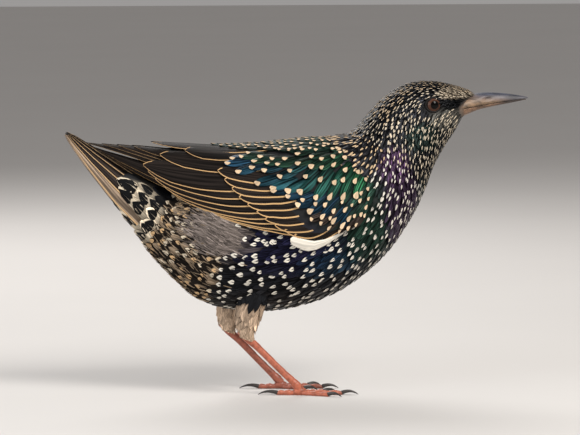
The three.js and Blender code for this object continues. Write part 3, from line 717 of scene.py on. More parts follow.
# The place (x, z) over the ear where spots are wider, how far that reaches, and the share of
# feathers that carry no spot.
EAR = (36, 108)
EAR_REACH = (2.6, 6)
BARE_SHARE = 0.06
pale = np.broadcast_to(WHITE, (count, 3)).copy()
pale[row_number > CREAM_FROM] = CREAM * 1.05
pale[(turned < 48) & (row_number > NARROW_ROWS[1])] = 0.5 * (CREAM + BUFF)
pale[(turned < BUFF_WITHIN) & (row_number <= CREAM_FROM)] = 0.7 * BUFF + 0.3 * CREAM
pale[vent] = np.where(draws.random((np.count_nonzero(vent), 1)) < 0.6, BUFF, CREAM)
pale[under_tail] = BLACK * 0.3
pale *= draws.uniform(0.8, 1.1, (count, 1))
spot_long, spot_half = read(SPOT_LENGTH, row_number), read(SPOT_HALF, row_number)
narrow = (turned < BUFF_WITHIN) & (row_number > NARROW_ROWS[0]) & (row_number < NARROW_ROWS[1])
spot_half[narrow] *= 0.75
spot_long *= draws.uniform(0.75, 1.15, count)
spot_half *= draws.uniform(0.8, 1.15, count)
hearts = (row_number > HEART_ROWS[0]) & (row_number < HEART_ROWS[1])
notch = np.where(hearts, draws.uniform(0.2, 0.65, count), 0.1)
above_ear = seen_at[:, 2] - EAR[1]
ahead_of_ear = seen_at[:, 0] - EAR[0] - 0.3 * above_ear
spot_half[(np.abs(ahead_of_ear) < EAR_REACH[0]) & (np.abs(above_ear) < EAR_REACH[1])] *= 2.1
lores = spot_mask(seen_at, *LORES) > 0.3
spotted = may_be_spotted & ~lores & ~grey_patch & ((draws.random(count) > BARE_SHARE) | under_tail)
shown = np.flatnonzero(spotted)
start = np.clip(1 - spot_long / length, 0.2, 0.85)
start[under_tail] = 0.45
under_spots = {name: values[shown] for name, values in coat.items()}
under_spots["length"] = under_spots["length"] * np.where(under_tail, 0.9, 0.985)[shown]
marks = marks_on(body_surface, under_spots, start[shown], spot_half[shown], notch[shown])
pale_spot = plumage_material("pale spot of a feather", 0.0, 0.65, 6, 0.02, (0.75, 1.15))
patches = small_patches(unwrapped(roots[shown]), marks)
layers = feather_layers(marks, MARK_SHARES, patches, pale[shown])
piece("coat_spots", marks.reshape(-1, 3), [mark_faces(len(shown))], pale_spot, "plumage", FLESH, **layers)


# The thighs carry soft loose feathers, black where they leave the coat of the belly, and below it
# buff and paler downwards. They hang over the top of the bare shank as short trousers.
THIGH_GAP = 1.75
# By share of the way down the thigh: length and half-width. By height of the tip: the paling.
THIGH_LENGTH = ([0, 0.7, 1], [8, 6.5, 3.6])
THIGH_HALF = ([0, 0.5, 1], [1.9, 1.15, 0.7])
THIGH_PALING = ([24, 36], [1.35, 0.85])
# The height above which the feathers are black, and about how far down those reach.
BLACK_ABOVE = 38.5
BLACK_DOWN_TO = 34.4


def rooted_on_thigh():
    """Roots on a thigh as (minus place, angle), in rows round it that are half a gap out of step."""
    roots = []
    for k, place in enumerate(np.arange(0.1, len(THIGH) - 1.15, 0.24)):
        radius = float(carried(THIGH, np.array(place))[2])
        number = max(int(2 * np.pi * radius / THIGH_GAP), 8)
        angles = (np.arange(number) + 0.5 * (k % 2)) / number * 2 * np.pi
        roots.append(np.stack([np.full(number, -place), angles], 1))
    return np.concatenate(roots)


thigh_parts = []
for side in LEGS:
    surface = thigh_surface(side)
    thigh_roots = rooted_on_thigh()
    thigh_roots = thigh_roots + draws.normal(0, 0.06, thigh_roots.shape)
    number = len(thigh_roots)
    way_down = -thigh_roots[:, 0] / (len(THIGH) - 1)
    root_height = surface(*thigh_roots.T)[:, 2]
    black_root = root_height > BLACK_ABOVE
    thigh_run = read(THIGH_LENGTH, way_down) * draws.uniform(0.85, 1.15, number)
    thigh_run = np.minimum(thigh_run, (len(THIGH) - 0.95 + thigh_roots[:, 0]) * 6.5)
    black_run = np.clip(0.45 * (root_height - BLACK_DOWN_TO), 2.4, thigh_run)
    thigh_run = np.where(black_root, black_run, thigh_run)
    trousers = {
        "roots": thigh_roots,
        "flow": draws.normal(0, 0.16, number),
        "length": thigh_run,
        "half": read(THIGH_HALF, way_down),
        "low": np.full(number, -0.6),
        "high": 0.3 + draws.uniform(-0.2, 0.3, number),
    }
    thigh_grid = laid(surface, trousers, VANE_SHARES, VANE_WIDTHS, VANE_LANES)
    tip_height = thigh_grid[:, -1, VANE_LANES // 2, 2]
    buff = THIGH_BUFF * read(THIGH_PALING, tip_height)[:, None]
    colour = np.where(black_root[:, None], BLACK, buff)
    colour = colour * np.exp(draws.normal(0, 0.25, (number, 1)))
    thigh_places = np.stack([way_down, np.mod(thigh_roots[:, 1] / (2 * np.pi), 1)], 1)
    thigh_parts.append((thigh_grid, colour, thigh_places))
thigh_grids, thigh_colours, thigh_places = (np.concatenate(part) for part in zip(*thigh_parts))
thigh_vane = plumage_material("soft thigh feather", 0.0, 0.8, 8, 0.05, (0.5, 1.35))
patches = small_patches(thigh_places, thigh_grids)
layers = feather_layers(thigh_grids, VANE_SHARES, patches, thigh_colours)
piece("coat_thighs", *sheets(thigh_grids), thigh_vane, "plumage", FLESH, **layers)


# The folded wings lie over the flanks and meet on the back. Under their feathers is the arm, a
# padded slab that follows the wing's surface and thins towards its edges.
# From ahead of the wrist to behind the wing tip: x, z of the upper edge, z of the section's
# middle, half the section's width and z of the lower edge.
WING_ROWS = [
    [38, 97, 77, 21.5, 82],
    [30, 100, 75, 24.6, 77.5],
    [24, 102.6, 72.5, 26.6, 73],
    [16, 104, 70.5, 28.3, 69],
    [4, 104.2, 70.5, 29.2, 63.4],
    [-4, 103.4, 70.8, 29.1, 64.4],
    [-14, 102.4, 72, 28, 68.4],
    [-30, 101.8, 77, 23.6, 74.4],
    [-46, 102.6, 84.5, 17.2, 81.2],
    [-62, 103.4, 91, 12, 89],
    [-78, 104.8, 98, 7.6, 97.2],
    [-90, 106, 103.6, 4.6, 103.4],
    [-100, 107, 106, 3.2, 105.8],
]
MIDLINE_GAP = 0.5
WING_STEPS = (0.6, 0.012)
# The arm's ends along x, and how far under the wing's surface its two sides lie.
ARM_FRONT, ARM_BACK = 29.5, -36
ARM_OVER, ARM_UNDER = -1.0, -4.0


def wing_surface(x, share):
    """The right wing's outer surface. At each x the section is part of an ellipse, and the share
    of its arc runs from 0 at the lower edge to 1 at the midline of the back."""
    stations = np.array(WING_ROWS)[:, 0]
    row = np.interp(-np.asarray(x, float), -stations, np.arange(len(stations)))
    _, top, middle, half, low = np.moveaxis(carried(WING_ROWS, row), -1, 0)
    height = top - middle
    low_angle = np.arccos(np.clip((low - middle) / height, -0.98, 0.98))
    angle = low_angle * (1 - share)
    y = -MIDLINE_GAP - half * np.sin(angle)
    return np.stack([x + 0 * angle, y, middle + height * np.cos(angle)], -1)


def mirrored(points, faces):
    """The same piece on the other side: y changes its sign and each face runs the other way."""
    return points * [1, -1, 1], [block[:, ::-1] for block in faces]


def both_wings(name, points, faces, finish, slot, **layers):
    """A piece of the right wing and its twin on the left."""
    made = [piece(name + "_right", points, faces, finish, slot, ("wing_right",), **layers)]
    made.append(piece(name + "_left", *mirrored(points, faces), finish, slot, ("wing_left",), **layers))
    return made


arm_x, arm_across = grid_of(np.linspace(ARM_FRONT, ARM_BACK, 60), np.linspace(0, 1, 28))
arm_share = (ARM_FRONT - arm_x) / (ARM_FRONT - ARM_BACK)
bend = np.sqrt(np.maximum(1 - np.maximum(0, 1 - (arm_share + 0.01) / 0.24) ** 2, 0))
arm_low = 0.02 + 0.5 * np.maximum(0, arm_share - 0.45) ** 1.4 + 0.04 * (1 - bend)
arm_high = 0.1 + 0.42 * bend + 0.46 * np.minimum(1, arm_share * 1.7)
arm_place = arm_low + (arm_high - arm_low) * arm_across
edge = np.clip(1 - 4 * np.minimum(arm_across, 1 - arm_across), 0, 1) ** 2
arm_over = lifted(wing_surface, arm_x, arm_place, ARM_OVER - 0.9 * edge, *WING_STEPS)
arm_under = lifted(wing_surface, arm_x, arm_place, ARM_UNDER + 1.6 * edge, *WING_STEPS)
arm_points, arm_faces = closed(np.concatenate([arm_over, arm_under[:, ::-1]], 1))
arm_tint = ground_colour(arm_points) * 0.7
both_wings("wing_arm", arm_points, arm_faces, skin_material(), "plumage", tint=arm_tint)


# The flight feathers and the greater coverts: long stiff vanes, each with a buff edge along its
# outer side. The inner ones lie over the outer ones, so only the outer edges show. Where they lie
# is given in pixels of the picture, from its upper left.
PICTURE_SIZE = (580, 435)
FLIGHT_SHARES = np.concatenate([np.linspace(0, 0.8, 15), [0.86, 0.91, 0.95, 0.98, 1.0]])
FLIGHT_OUTLINE = ([0, 0.3, 0.6, 0.8, 0.9, 0.96, 1], [0.6, 0.9, 1, 0.96, 0.74, 0.45, 0.1])
FLIGHT_WIDTHS = read(FLIGHT_OUTLINE, FLIGHT_SHARES)
FLIGHT_LANES = 7
FLIGHT_THICKNESS = 0.12
AT_TIP = FLIGHT_SHARES > 0.87
ROOT_DROP = 0.5
FLIGHT_CURL = 0.03
EDGE_RISE = 0.06
DARK_FEATHER = np.array([0.0115, 0.0085, 0.0072])
EDGE_BUFF = np.array([0.60, 0.37, 0.17])


def in_picture(points):
    """Where points in millimetres fall in the picture, in its pixels from the upper left."""
    right = np.array([math.cos(CAMERA_AZIMUTH), math.sin(CAMERA_AZIMUTH), 0])
    up = np.cross(np.array(towards_camera), right)
    scale = PICTURE_SIZE[0] / PICTURE_WIDTH
    away = points - np.array(AIM)
    across = PICTURE_SIZE[0] / 2 + away @ right * scale
    return np.stack([across, PICTURE_SIZE[1] / 2 - away @ up * scale], -1)


searched = grid_of(np.linspace(-98, 37, 500), np.linspace(-0.1, 1.02, 220))
search_seen = in_picture(wing_surface(*searched)).reshape(-1, 2)
search_places = np.stack(searched, -1).reshape(-1, 2)


def on_wing(seen):
    """The places (x, share) of the right wing that are seen at points of the picture: of a fine
    grid on the wing, the ones that fall nearest."""
    seen = np.asarray(seen, float)
    return search_places[[np.argmin(((search_seen - point) ** 2).sum(1)) for point in seen]]


def along_line(points, count):
    """Places on the wing seen evenly spread along a line through several points of the picture."""
    points = np.array(points, float)
    runs = np.concatenate([[0], np.cumsum(np.hypot(*np.diff(points, axis=0).T))])
    at = np.linspace(0, runs[-1], count)
    return on_wing(np.stack([np.interp(at, runs, points[:, 0]), np.interp(at, runs, points[:, 1])], 1))


# By tier: the roots and the tips, from the innermost feather to the outermost; the half-widths of
# the first and the last; the lift of the first and the step to each next one; and how wide the
# buff edge is. The innermost pair lies along the midline of the back, at (x, share) of the wing.
TIERS = {
    "primaries": {
        "roots": along_line([(236, 176), (262, 212)], 8),
        "tips": along_line(
            [(136, 143), (104, 140.5), (84, 139), (82, 141), (95, 151), (112, 160), (126, 167)], 8
        ),
        "half": (4.4, 3.4), "lift": -1.7, "step": -0.17, "edge": 0.24,
    },
    "secondaries": {
        "roots": along_line([(250, 190), (268, 205), (296, 226), (306, 231)], 7),
        "tips": along_line([(150, 172), (155, 178), (161, 184), (170, 192), (184, 199), (199, 206)], 7),
        "half": (4.4, 3.0), "lift": -0.75, "step": -0.13, "edge": 0.42,
    },
    "tertials": {
        "roots": on_wing([(262, 150), (268, 160), (268, 172)]),
        "tips": on_wing([(186, 151), (161.5, 155), (145, 165.5)]),
        "half": (5.6, 6.6), "lift": 0.0, "step": -0.25, "edge": 0.42,
    },
    "greater coverts": {
        "roots": along_line([(272, 180), (282, 189), (303, 201), (318, 211), (334, 218), (346, 226)], 10),
        "tips": along_line(
            [(219, 171), (226, 181), (238, 196), (250, 206), (263, 217.5), (277, 227), (295, 235)], 10
        ),
        "half": (3.2, 2.1), "lift": 0.0, "step": -0.15, "edge": 0.56,
    },
    "innermost pair": {
        "roots": np.array([(-14, 0.86)]),
        "tips": np.array([(-60, 0.88)]),
        "half": (5.2, 5.2), "lift": 0.1, "step": 0, "edge": 0.42,
    },
}


def flight_grid(roots, tips, half, lift, shares, edges):
    """Vanes on the wing, straight from root to tip. Edges gives where the lanes of each row lie, as
    shares of the half-width, so the same function makes a whole vane or a strip along one edge.
    The root lies lower than the tip."""
    unit_u, unit_v = surface_scale(wing_surface, (roots + tips) / 2, WING_STEPS)
    step = tips - roots
    heading = step * np.stack([unit_u, unit_v], 1)
    heading /= np.linalg.norm(heading, axis=1, keepdims=True)
    a = shares[None, :, None]
    across = edges * each(half)
    u = each(roots[:, 0]) + each(step[:, 0]) * a - each(heading[:, 1]) * across / each(unit_u)
    v = each(roots[:, 1]) + each(step[:, 1]) * a + each(heading[:, 0]) * across / each(unit_v)
    rise = each(lift) - ROOT_DROP * (1 - a) - FLIGHT_CURL * each(half) * edges**2
    return lifted(wing_surface, u, v, rise, *WING_STEPS)


def strip_patches(grids, wide, tall):
    """UV of a long patch for each large feather, side by side in rows of sixteen."""
    count, rows, lanes = grids.shape[:3]
    grid_a, grid_b = grid_of(np.linspace(0, 1, rows), np.linspace(0, 1, lanes))
    own = np.stack([grid_b * wide, grid_a * tall], -1)[None]
    number = np.arange(count)
    corner = np.stack([0.01 + (number % 16) / 16.2, 0.01 + (number // 16) * (tall + 0.02)], -1)
    return (own + corner[:, None, None, :]).reshape(-1, 2)


def thickened(made, thickness):
    """A piece of single sheets given a thickness inwards, in millimetres."""
    thick = made.modifiers.new("thickness", "SOLIDIFY")
    thick.thickness = thickness * MM
    thick.offset = -1


tier_sets = []
for tier in TIERS.values():
    number = len(tier["roots"])
    half = np.linspace(*tier["half"], number)
    lift = tier["lift"] + tier["step"] * np.arange(number)
    thin = tier["edge"] / half[:, None]
    strip = np.stack([FLIGHT_WIDTHS + 0 * thin, np.maximum(FLIGHT_WIDTHS - thin, 0)], -1)
    whole = (FLIGHT_WIDTHS[:, None] * np.linspace(-1, 1, FLIGHT_LANES))[None]
    parts = [(whole, FLIGHT_SHARES, 0), (strip, FLIGHT_SHARES, EDGE_RISE)]
    parts.append((-strip[:, AT_TIP, ::-1], FLIGHT_SHARES[AT_TIP], EDGE_RISE))
    ends = (tier["roots"], tier["tips"])
    tier_sets.append(
        [flight_grid(*ends, half, lift + rise, shares, edges) for edges, shares, rise in parts]
    )
flight_vanes, outer_edges, tip_edges = (np.concatenate(part) for part in zip(*tier_sets))
vane_count = len(flight_vanes)
flight_vane = plumage_material("stiff vane of a flight feather", 0.15, 0.55, 10, 0.05, (0.4, 1.8), 0.08)
vane_tint = DARK_FEATHER * draws.uniform(0.75, 1.35, (vane_count, 1))
layers = feather_layers(flight_vanes, FLIGHT_SHARES, strip_patches(flight_vanes, 0.05, 0.28), vane_tint)
vane_points, vane_faces = sheets(flight_vanes)
vane_faces = [block[:, ::-1] for block in vane_faces]
for made in both_wings("wing_vanes", vane_points, vane_faces, flight_vane, "flight_feathers", **layers):
    thickened(made, FLIGHT_THICKNESS)
edge_points, edge_faces = gathered([sheets(outer_edges), sheets(tip_edges)])
buff_edge = plumage_material("buff edge of a feather", 0.0, 0.65, 6, 0.02, (0.7, 1.2))
primary = np.arange(vane_count) < len(TIERS["primaries"]["tips"])
edge_tint = EDGE_BUFF * np.where(primary, 0.5, 1.0)[:, None]
outer_patches = strip_patches(outer_edges, 0.012, 0.2)
outer_layers = feather_layers(outer_edges, FLIGHT_SHARES, outer_patches, edge_tint)
tip_patches = strip_patches(tip_edges, 0.012, 0.2) + [0.03, 0]
tip_layers = feather_layers(tip_edges, FLIGHT_SHARES[AT_TIP], tip_patches, edge_tint)
layers = {name: np.concatenate([outer_layers[name], tip_layers[name]]) for name in outer_layers}
both_wings("wing_edges", edge_points, edge_faces, buff_edge, "flight_feathers", **layers)


# The small feathers of the wing and the back lie over the roots of the stiff ones: median and
# lesser coverts on the wing, scapulars above them, and the mantle between the wings. They are
# glossy green and blue, and each ends in a buff wedge.
COVERT_SHARES = np.array([0, 0.18, 0.38, 0.58, 0.75, 0.88, 0.96, 1.0])
COVERT_WIDTHS = np.array([0.5, 0.75, 0.95, 1.0, 0.92, 0.72, 0.42, 0.1])
COVERT_SHADES = np.interp(COVERT_SHARES, [0, 0.5, 1], [0.4, 0.85, 1.25])
COVERT_LANES = 7
WEDGE = [0.12, 0.42, 0.75, 1.0, 0.5]
# By row: where the tips are seen in the picture, how steeply the first and the last feather run
# down (degrees), the first and the last tint, and four sizes: length, half-width, and the wedge's
# length and half-width.
COVERT_ROWS = {
    "lowest scapulars": {
        "tips": [
            (226, 166), (237.5, 175.5), (256, 186.5), (271, 191.5), (286, 194), (297.5, 194), (312.5, 198),
            (327.5, 197), (341, 196.5), (353.5, 193.5),
        ],
        "slope": (22, 58), "tints": (BLUE * 0.7, GREEN * 0.48), "sizes": (13.5, 2.3, 2.6, 1.3),
    },
    "second scapulars": {
        "tips": [
            (231, 161), (250, 170), (262.5, 173), (278.5, 179), (287.5, 173), (303, 178), (317.5, 180),
            (332.5, 182.5), (341, 180), (352, 180),
        ],
        "slope": (18, 52), "tints": (BLUE * 0.5, GREEN * 0.34), "sizes": (12, 2.2, 2.4, 1.15),
    },
    "third scapulars": {
        "tips": [
            (240, 158), (252, 163), (265, 165), (276, 166), (295, 165.5), (308, 168), (319, 168.5),
            (331, 166), (343, 170.5), (355, 171.5),
        ],
        "slope": (14, 44), "tints": (GREEN_BLACK * 1.1, GREEN * 0.27), "sizes": (10, 2.1, 2.3, 1.1),
    },
    "fourth scapulars": {
        "tips": [
            (246, 154), (258, 158), (270, 160), (282, 160.5), (295, 155.5), (308.5, 158.5), (319, 160),
            (331, 157.5), (342, 158.5), (353, 160),
        ],
        "slope": (10, 30), "tints": (GREEN_BLACK, GREEN * 0.22), "sizes": (9, 2.0, 2.2, 1.1),
    },
    "median coverts": {
        "tips": [(271, 193), (286, 198), (295, 206.5), (305, 212), (318.5, 217.5), (331, 222), (340, 226)],
        "slope": (25, 25), "tints": (BLUE * 0.5, BLUE * 0.7), "sizes": (11, 2.2, 2.7, 1.2),
    },
    "lesser coverts": {
        "tips": [(300, 201), (312.5, 205), (322, 206.5), (331, 212), (342, 211), (346, 220), (357, 215)],
        "slope": (30, 30), "tints": (BLUE * 0.4, GREEN_BLACK), "sizes": (8, 1.9, 2.1, 0.95),
    },
    "coverts below the wrist": {
        "tips": [(308, 219), (317, 224), (326, 229), (337, 232), (328, 219), (345, 229), (352, 226)],
        "slope": (14, 22), "tints": (DARK_FEATHER * 2.2, DARK_FEATHER * 2.2), "sizes": (8, 1.7, 1.8, 0.8),
    },
    "lesser coverts near the wrist": {
        "tips": [
            (340, 203), (350, 206), (357, 202), (363, 208), (366, 199), (358, 194), (365, 189), (363, 180),
            (360, 171), (352, 217), (361, 216),
        ],
        "slope": (34, 34), "tints": (GREEN_BLACK, GREEN_BLACK), "sizes": (6.5, 1.6, 1.6, 0.75),
    },
}
MANTLE_GAP = 3.2
MANTLE_SIZES = (8.5, 2.1, 1.7, 0.8)
# By x: the share of the wing's arc down to which the mantle reaches.
MANTLE_LOW = ([-36, -20, -10, 6, 20, 30], [0.88, 0.78, 0.72, 0.7, 0.62, 0.5])


def mantle_tips():
    """Tips of the mantle's feathers as (x, share): a lattice on the upper part of the wing's
    surface, each row half a gap out of step, ending above the scapulars."""
    places = []
    for k, x in enumerate(np.arange(25, -36, -MANTLE_GAP * 0.9)):
        arc = surface_scale(wing_surface, np.array([[x, 0.85]]), WING_STEPS)[1][0]
        shares = np.arange(1.0 - 0.5 * (k % 2) * MANTLE_GAP / arc, read(MANTLE_LOW, x), -MANTLE_GAP / arc)
        places.append(np.stack([np.full(len(shares), x), shares], 1))
    return np.concatenate(places)


covert_parts = []
for covert_row in COVERT_ROWS.values():
    places = on_wing(covert_row["tips"])
    share = np.linspace(0, 1, len(places))[:, None]
    first, last = covert_row["tints"]
    slope = np.radians(np.interp(share[:, 0], [0, 1], covert_row["slope"]))
    covert_parts.append((places, slope, first + (last - first) * share, covert_row["sizes"]))
mantle = mantle_tips()
mantle = mantle + draws.normal(0, 1, mantle.shape) * [0.6, 0.014]
mantle_tint = GREEN_BLACK * (0.6 + 0.35 * soft_mask(mantle[:, 0], -28, 20)[:, None])
covert_parts.append((mantle, np.radians(4 + 10 * (1 - mantle[:, 1])), mantle_tint, MANTLE_SIZES))
tips, slope, covert_tint = (np.concatenate([part[k] for part in covert_parts]) for k in range(3))
run, covert_half, wedge_long, wedge_half = np.concatenate(
    [np.broadcast_to(sizes, (len(places), 4)) for places, _, _, sizes in covert_parts]
).T
covert_count = len(tips)
slope = slope + draws.normal(0, 0.05, covert_count)
unit_x, unit_share = surface_scale(wing_surface, tips, WING_STEPS)
coverts = {
    "roots": tips + np.stack([np.cos(slope) * run / unit_x, np.sin(slope) * run / unit_share], 1),
    "flow": -slope,
    "length": run,
    "half": covert_half,
    "low": np.full(covert_count, -0.55),
    "high": 0.45 + draws.uniform(-0.12, 0.12, covert_count),
}
covert_grids = laid(wing_surface, coverts, COVERT_SHARES, COVERT_WIDTHS, COVERT_LANES, WING_STEPS)
covert_tint = covert_tint * np.exp(draws.normal(0, 0.28, (covert_count, 1)))
wing_places = np.stack(
    [(coverts["roots"][:, 0] + 100) / 145, np.clip(coverts["roots"][:, 1], 0, 1.1) / 1.15], 1
)
patches = small_patches(wing_places, covert_grids)
layers = feather_layers(covert_grids, COVERT_SHARES, patches, covert_tint, shades=COVERT_SHADES)
covert_vane = plumage_material("glossy covert", 0.65, 0.42, 6.5, 0.35, (0.02, 2.1), 0.12)
both_wings("wing_coverts", *sheets(covert_grids), covert_vane, "plumage", **layers)
wedge_long = wedge_long * draws.uniform(0.8, 1.15, covert_count)
wedge_half = wedge_half * draws.uniform(0.8, 1.15, covert_count)
under_wedges = {**coverts, "length": run * 0.99}
wedges = marks_on(
    wing_surface, under_wedges, 1 - wedge_long / run, wedge_half, np.zeros(covert_count), WEDGE, WING_STEPS
)
wedge_tint = (0.75 * BUFF + 0.25 * WHITE) * draws.uniform(0.85, 1.15, (covert_count, 1))
layers = feather_layers(wedges, MARK_SHARES, small_patches(wing_places, wedges), wedge_tint)
both_wings("covert_spots", *sheets(wedges), pale_spot, "plumage", **layers)

# Below the front of each wing a few white feathers of its underside show.
WHITE_ROOTS = [(347, 231), (344, 233.5), (338, 236.5)]
WHITE_TIPS = [(290.5, 240.5), (297, 244), (306, 247)]
WHITE_WIDTHS = [0.08, 0.22, 0.45, 0.72, 0.95, 1.0, 0.8, 0.3]
WHITE_LIFT = np.array([-1.3, -1.45, -1.6])
white_roots = on_wing(WHITE_ROOTS)
white_step = on_wing(WHITE_TIPS) - white_roots
white_step = white_step * np.stack(surface_scale(wing_surface, white_roots, WING_STEPS), 1)
white_feathers = {
    "roots": white_roots,
    "flow": np.arctan2(white_step[:, 1], -white_step[:, 0]),
    "length": np.linalg.norm(white_step, axis=1),
    "half": np.array([2.3, 2.1, 1.8]),
    "low": WHITE_LIFT,
    "high": WHITE_LIFT + 0.2,
}
white_vanes = laid(wing_surface, white_feathers, COVERT_SHARES, WHITE_WIDTHS, COVERT_LANES, WING_STEPS)
layers = feather_layers(white_vanes, COVERT_SHARES, strip_patches(white_vanes, 0.05, 0.28), WHITE * 1.1)
both_wings("white_underwing", *sheets(white_vanes), pale_spot, "flight_feathers", **layers)


# The tail is closed into an arch that flattens towards its tip: six feathers a side, the middle
# pair uppermost and each further one tucked under its neighbour, all with pale buff edges.
TAIL = {"slope": math.radians(31), "x": -53, "z": 83.5, "length": 48, "half": 10.2}
# The arch's angle from ridge to side, its height halfway along, and how width and height shrink.
ARCH_TURN = 1.4
ARCH_HEIGHT = 14.2
ARCH_TAPERS = (0.03, 0.42)
TAIL_STEPS = (0.5, 0.02)
TAIL_WIDTHS = np.interp(FLIGHT_SHARES, [0, 0.3, 0.7, 0.88, 0.95, 1], [0.7, 0.95, 1, 0.9, 0.7, 0.25])
TAIL_PAIRS = 6
TAIL_ROOT = 5
TAIL_THICKNESS = 0.15
TAIL_EDGE = 0.09
TAIL_PALE = np.array([0.27, 0.20, 0.145])
TAIL_SHADES = [1.0, 1.0, 1.1, 1.3, 1.6]


def tail_surface(back_along, round_share):
    """The arch of the tail: minus the distance along it from its root, and a share of the way
    round from the ridge, below zero on the right. Width and height of the arch shrink with the
    distance, and a point is the sine and one less the cosine of its angle times these."""
    distance = -back_along
    angle = ARCH_TURN * round_share
    across = (TAIL["half"] - ARCH_TAPERS[0] * distance) * np.sin(angle)
    down = (ARCH_HEIGHT - ARCH_TAPERS[1] * (distance - 21.5)) * (1 - np.cos(angle)) / 0.83
    cosine, sine = math.cos(TAIL["slope"]), math.sin(TAIL["slope"])
    x = TAIL["x"] - cosine * distance - sine * down
    return np.stack([x, across, TAIL["z"] + sine * distance - cosine * down], -1)


def tail_feathers(rise, lanes_of):
    """The twelve tail feathers as grids. A feather keeps its share of the arch's width all the way
    along, and its lanes are shares of its half-width, worked out from its outer edge."""
    pair = each(np.tile(np.arange(TAIL_PAIRS), 2))
    side = each(np.repeat([-1, 1], TAIL_PAIRS))
    tip = TAIL["length"] - np.where(pair == 0, 1.4, 0.3 * np.abs(pair - 2))
    distance = TAIL_ROOT + (tip - TAIL_ROOT) * FLIGHT_SHARES[None, :, None]
    reach = 8.5 / (20 - 0.2 * distance)
    place = (pair + 1) / TAIL_PAIRS - 0.5 * reach + lanes_of(TAIL_WIDTHS[None, :, None]) * 0.5 * reach
    lift = rise - 0.2 - 0.3 * np.maximum(0, pair + 1 - TAIL_PAIRS * place)
    return lifted(tail_surface, -distance + 0 * place, side * place, lift, *TAIL_STEPS)


def tail_piece(name, grids, finish, wide, tint):
    """A piece of the tail, with the faces of the right side's feathers turned round."""
    points, (faces,) = sheets(grids)
    right = len(faces) // 2
    faces = [faces[:right, ::-1], faces[right:]]
    layers = feather_layers(grids, FLIGHT_SHARES, strip_patches(grids, wide, 0.4), tint)
    return piece(name, points, faces, finish, "flight_feathers", ("tail",), **layers)


tail_tint = np.array([DARK_FEATHER * 1.3 * shade for shade in TAIL_SHADES] + [TAIL_PALE])
tail_grids = tail_feathers(0.0, lambda outer: outer * np.linspace(-1, 1, FLIGHT_LANES))
tail = tail_piece("tail_vanes", tail_grids, flight_vane, 0.05, np.tile(tail_tint, (2, 1)))
thickened(tail, TAIL_THICKNESS)
tail_edges = tail_feathers(0.07, lambda outer: np.concatenate([outer - TAIL_EDGE, outer], -1))
tail_piece("tail_edges", tail_edges, buff_edge, 0.012, BUFF * 0.75)


# The bill is horn over bone: a ridged upper half with slit nostrils in its sides, and a keeled
# lower half. It is blue-grey on the ridge, warm brown at the base and below, and dark at the tip.
# By station: x, z of the upper side, z of the lower side, half the width.
BILL_UPPER = [
    [60, 117.8, 114.9, 6.4], [64, 119.2, 115.5, 7.4], [68, 120.6, 116.1, 6.8], [71, 121.4, 116.5, 5.8],
    [74.5, 121.9, 117.0, 4.7], [78, 122.1, 117.5, 3.7], [83, 121.9, 118.2, 2.75], [89, 121.2, 118.9, 1.85],
    [93, 120.5, 119.35, 1.05], [95.1, 120.0, 119.6, 0.4],
]
BILL_LOWER = [
    [60, 114.7, 111.5, 6.0], [64, 115.3, 111.7, 7.0], [68, 115.9, 112.5, 6.4], [71, 116.3, 113.7, 5.4],
    [74.5, 116.8, 115.0, 4.3], [78, 117.3, 115.8, 3.4], [83, 118.0, 116.8, 2.5], [89, 118.7, 117.9, 1.65],
    [92.5, 119.1, 118.6, 0.95], [94.4, 119.3, 119.0, 0.35],
]
# A nostril's slit and its flare, as (x, z, reach in x, reach in z), and the slit's climb along x.
SLIT = (77.8, 119.7, 1.7, 0.45)
FLARE = (77.4, 120.3, 2.6, 0.8)
SLIT_CLIMB = 0.12
HORN_BASE = (0.175, 0.108, 0.062)
HORN_LOWER = (0.155, 0.084, 0.047)
HORN_RIDGE = (0.045, 0.05, 0.074)
HORN_TIP = (0.045, 0.034, 0.03)


def bell(x, z, middle_x, middle_z, reach_x, reach_z):
    """1 at a middle, falling off as a bell curve on an ellipse."""
    return np.exp(-(((x - middle_x) / reach_x) ** 2) - ((z - middle_z) / reach_z) ** 2)


def bill_half(stations, upper):
    """One half of the bill as rings. The outer side is a ridge: its rise is a power of the cosine
    of the angle from the ridge. The inner side is flat. A nostril is a slit pressed in under a
    raised flare, both bell curves, and a fine groove runs along the lower half."""
    place, angle = grid_of(np.linspace(0, len(stations) - 1, 90), full_turn(48))
    x, top, bottom, half = np.moveaxis(carried(stations, place), -1, 0)
    cosine, sine = np.cos(angle), np.sin(angle)
    inner = cosine < 0 if upper else cosine > 0
    rise = np.where(inner, 0, np.abs(cosine) ** 0.9)
    z = bottom + (top - bottom) * rise if upper else top - (top - bottom) * rise
    y = half * np.sign(sine) * np.abs(sine) ** np.where(inner, 0.6, 0.92)
    if upper:
        slit = bell(x, z - SLIT_CLIMB * (x - SLIT[0]), *SLIT)
        y = y * (1 + 0.05 * bell(x, z, *FLARE) - 0.3 * slit)
    else:
        groove = np.exp(-(((z - bottom - 0.55 * (top - bottom)) / 0.25) ** 2))
        y = y * (1 - 0.03 * groove)
    return closed(np.stack([x, y, z], -1))


def along_axis(tree, axis, low, high):
    """The place along an axis of the object's own coordinates as a share between two ends."""
    place = tree.nodes.new("ShaderNodeTexCoord")
    parts = tree.nodes.new("ShaderNodeSeparateXYZ")
    tree.links.new(place.outputs["Object"], parts.inputs["Vector"])
    node = tree.nodes.new("ShaderNodeMapRange")
    node.inputs["From Min"].default_value = low * MM
    node.inputs["From Max"].default_value = high * MM
    tree.links.new(parts.outputs[axis], node.inputs["Value"])
    return node.outputs["Result"]


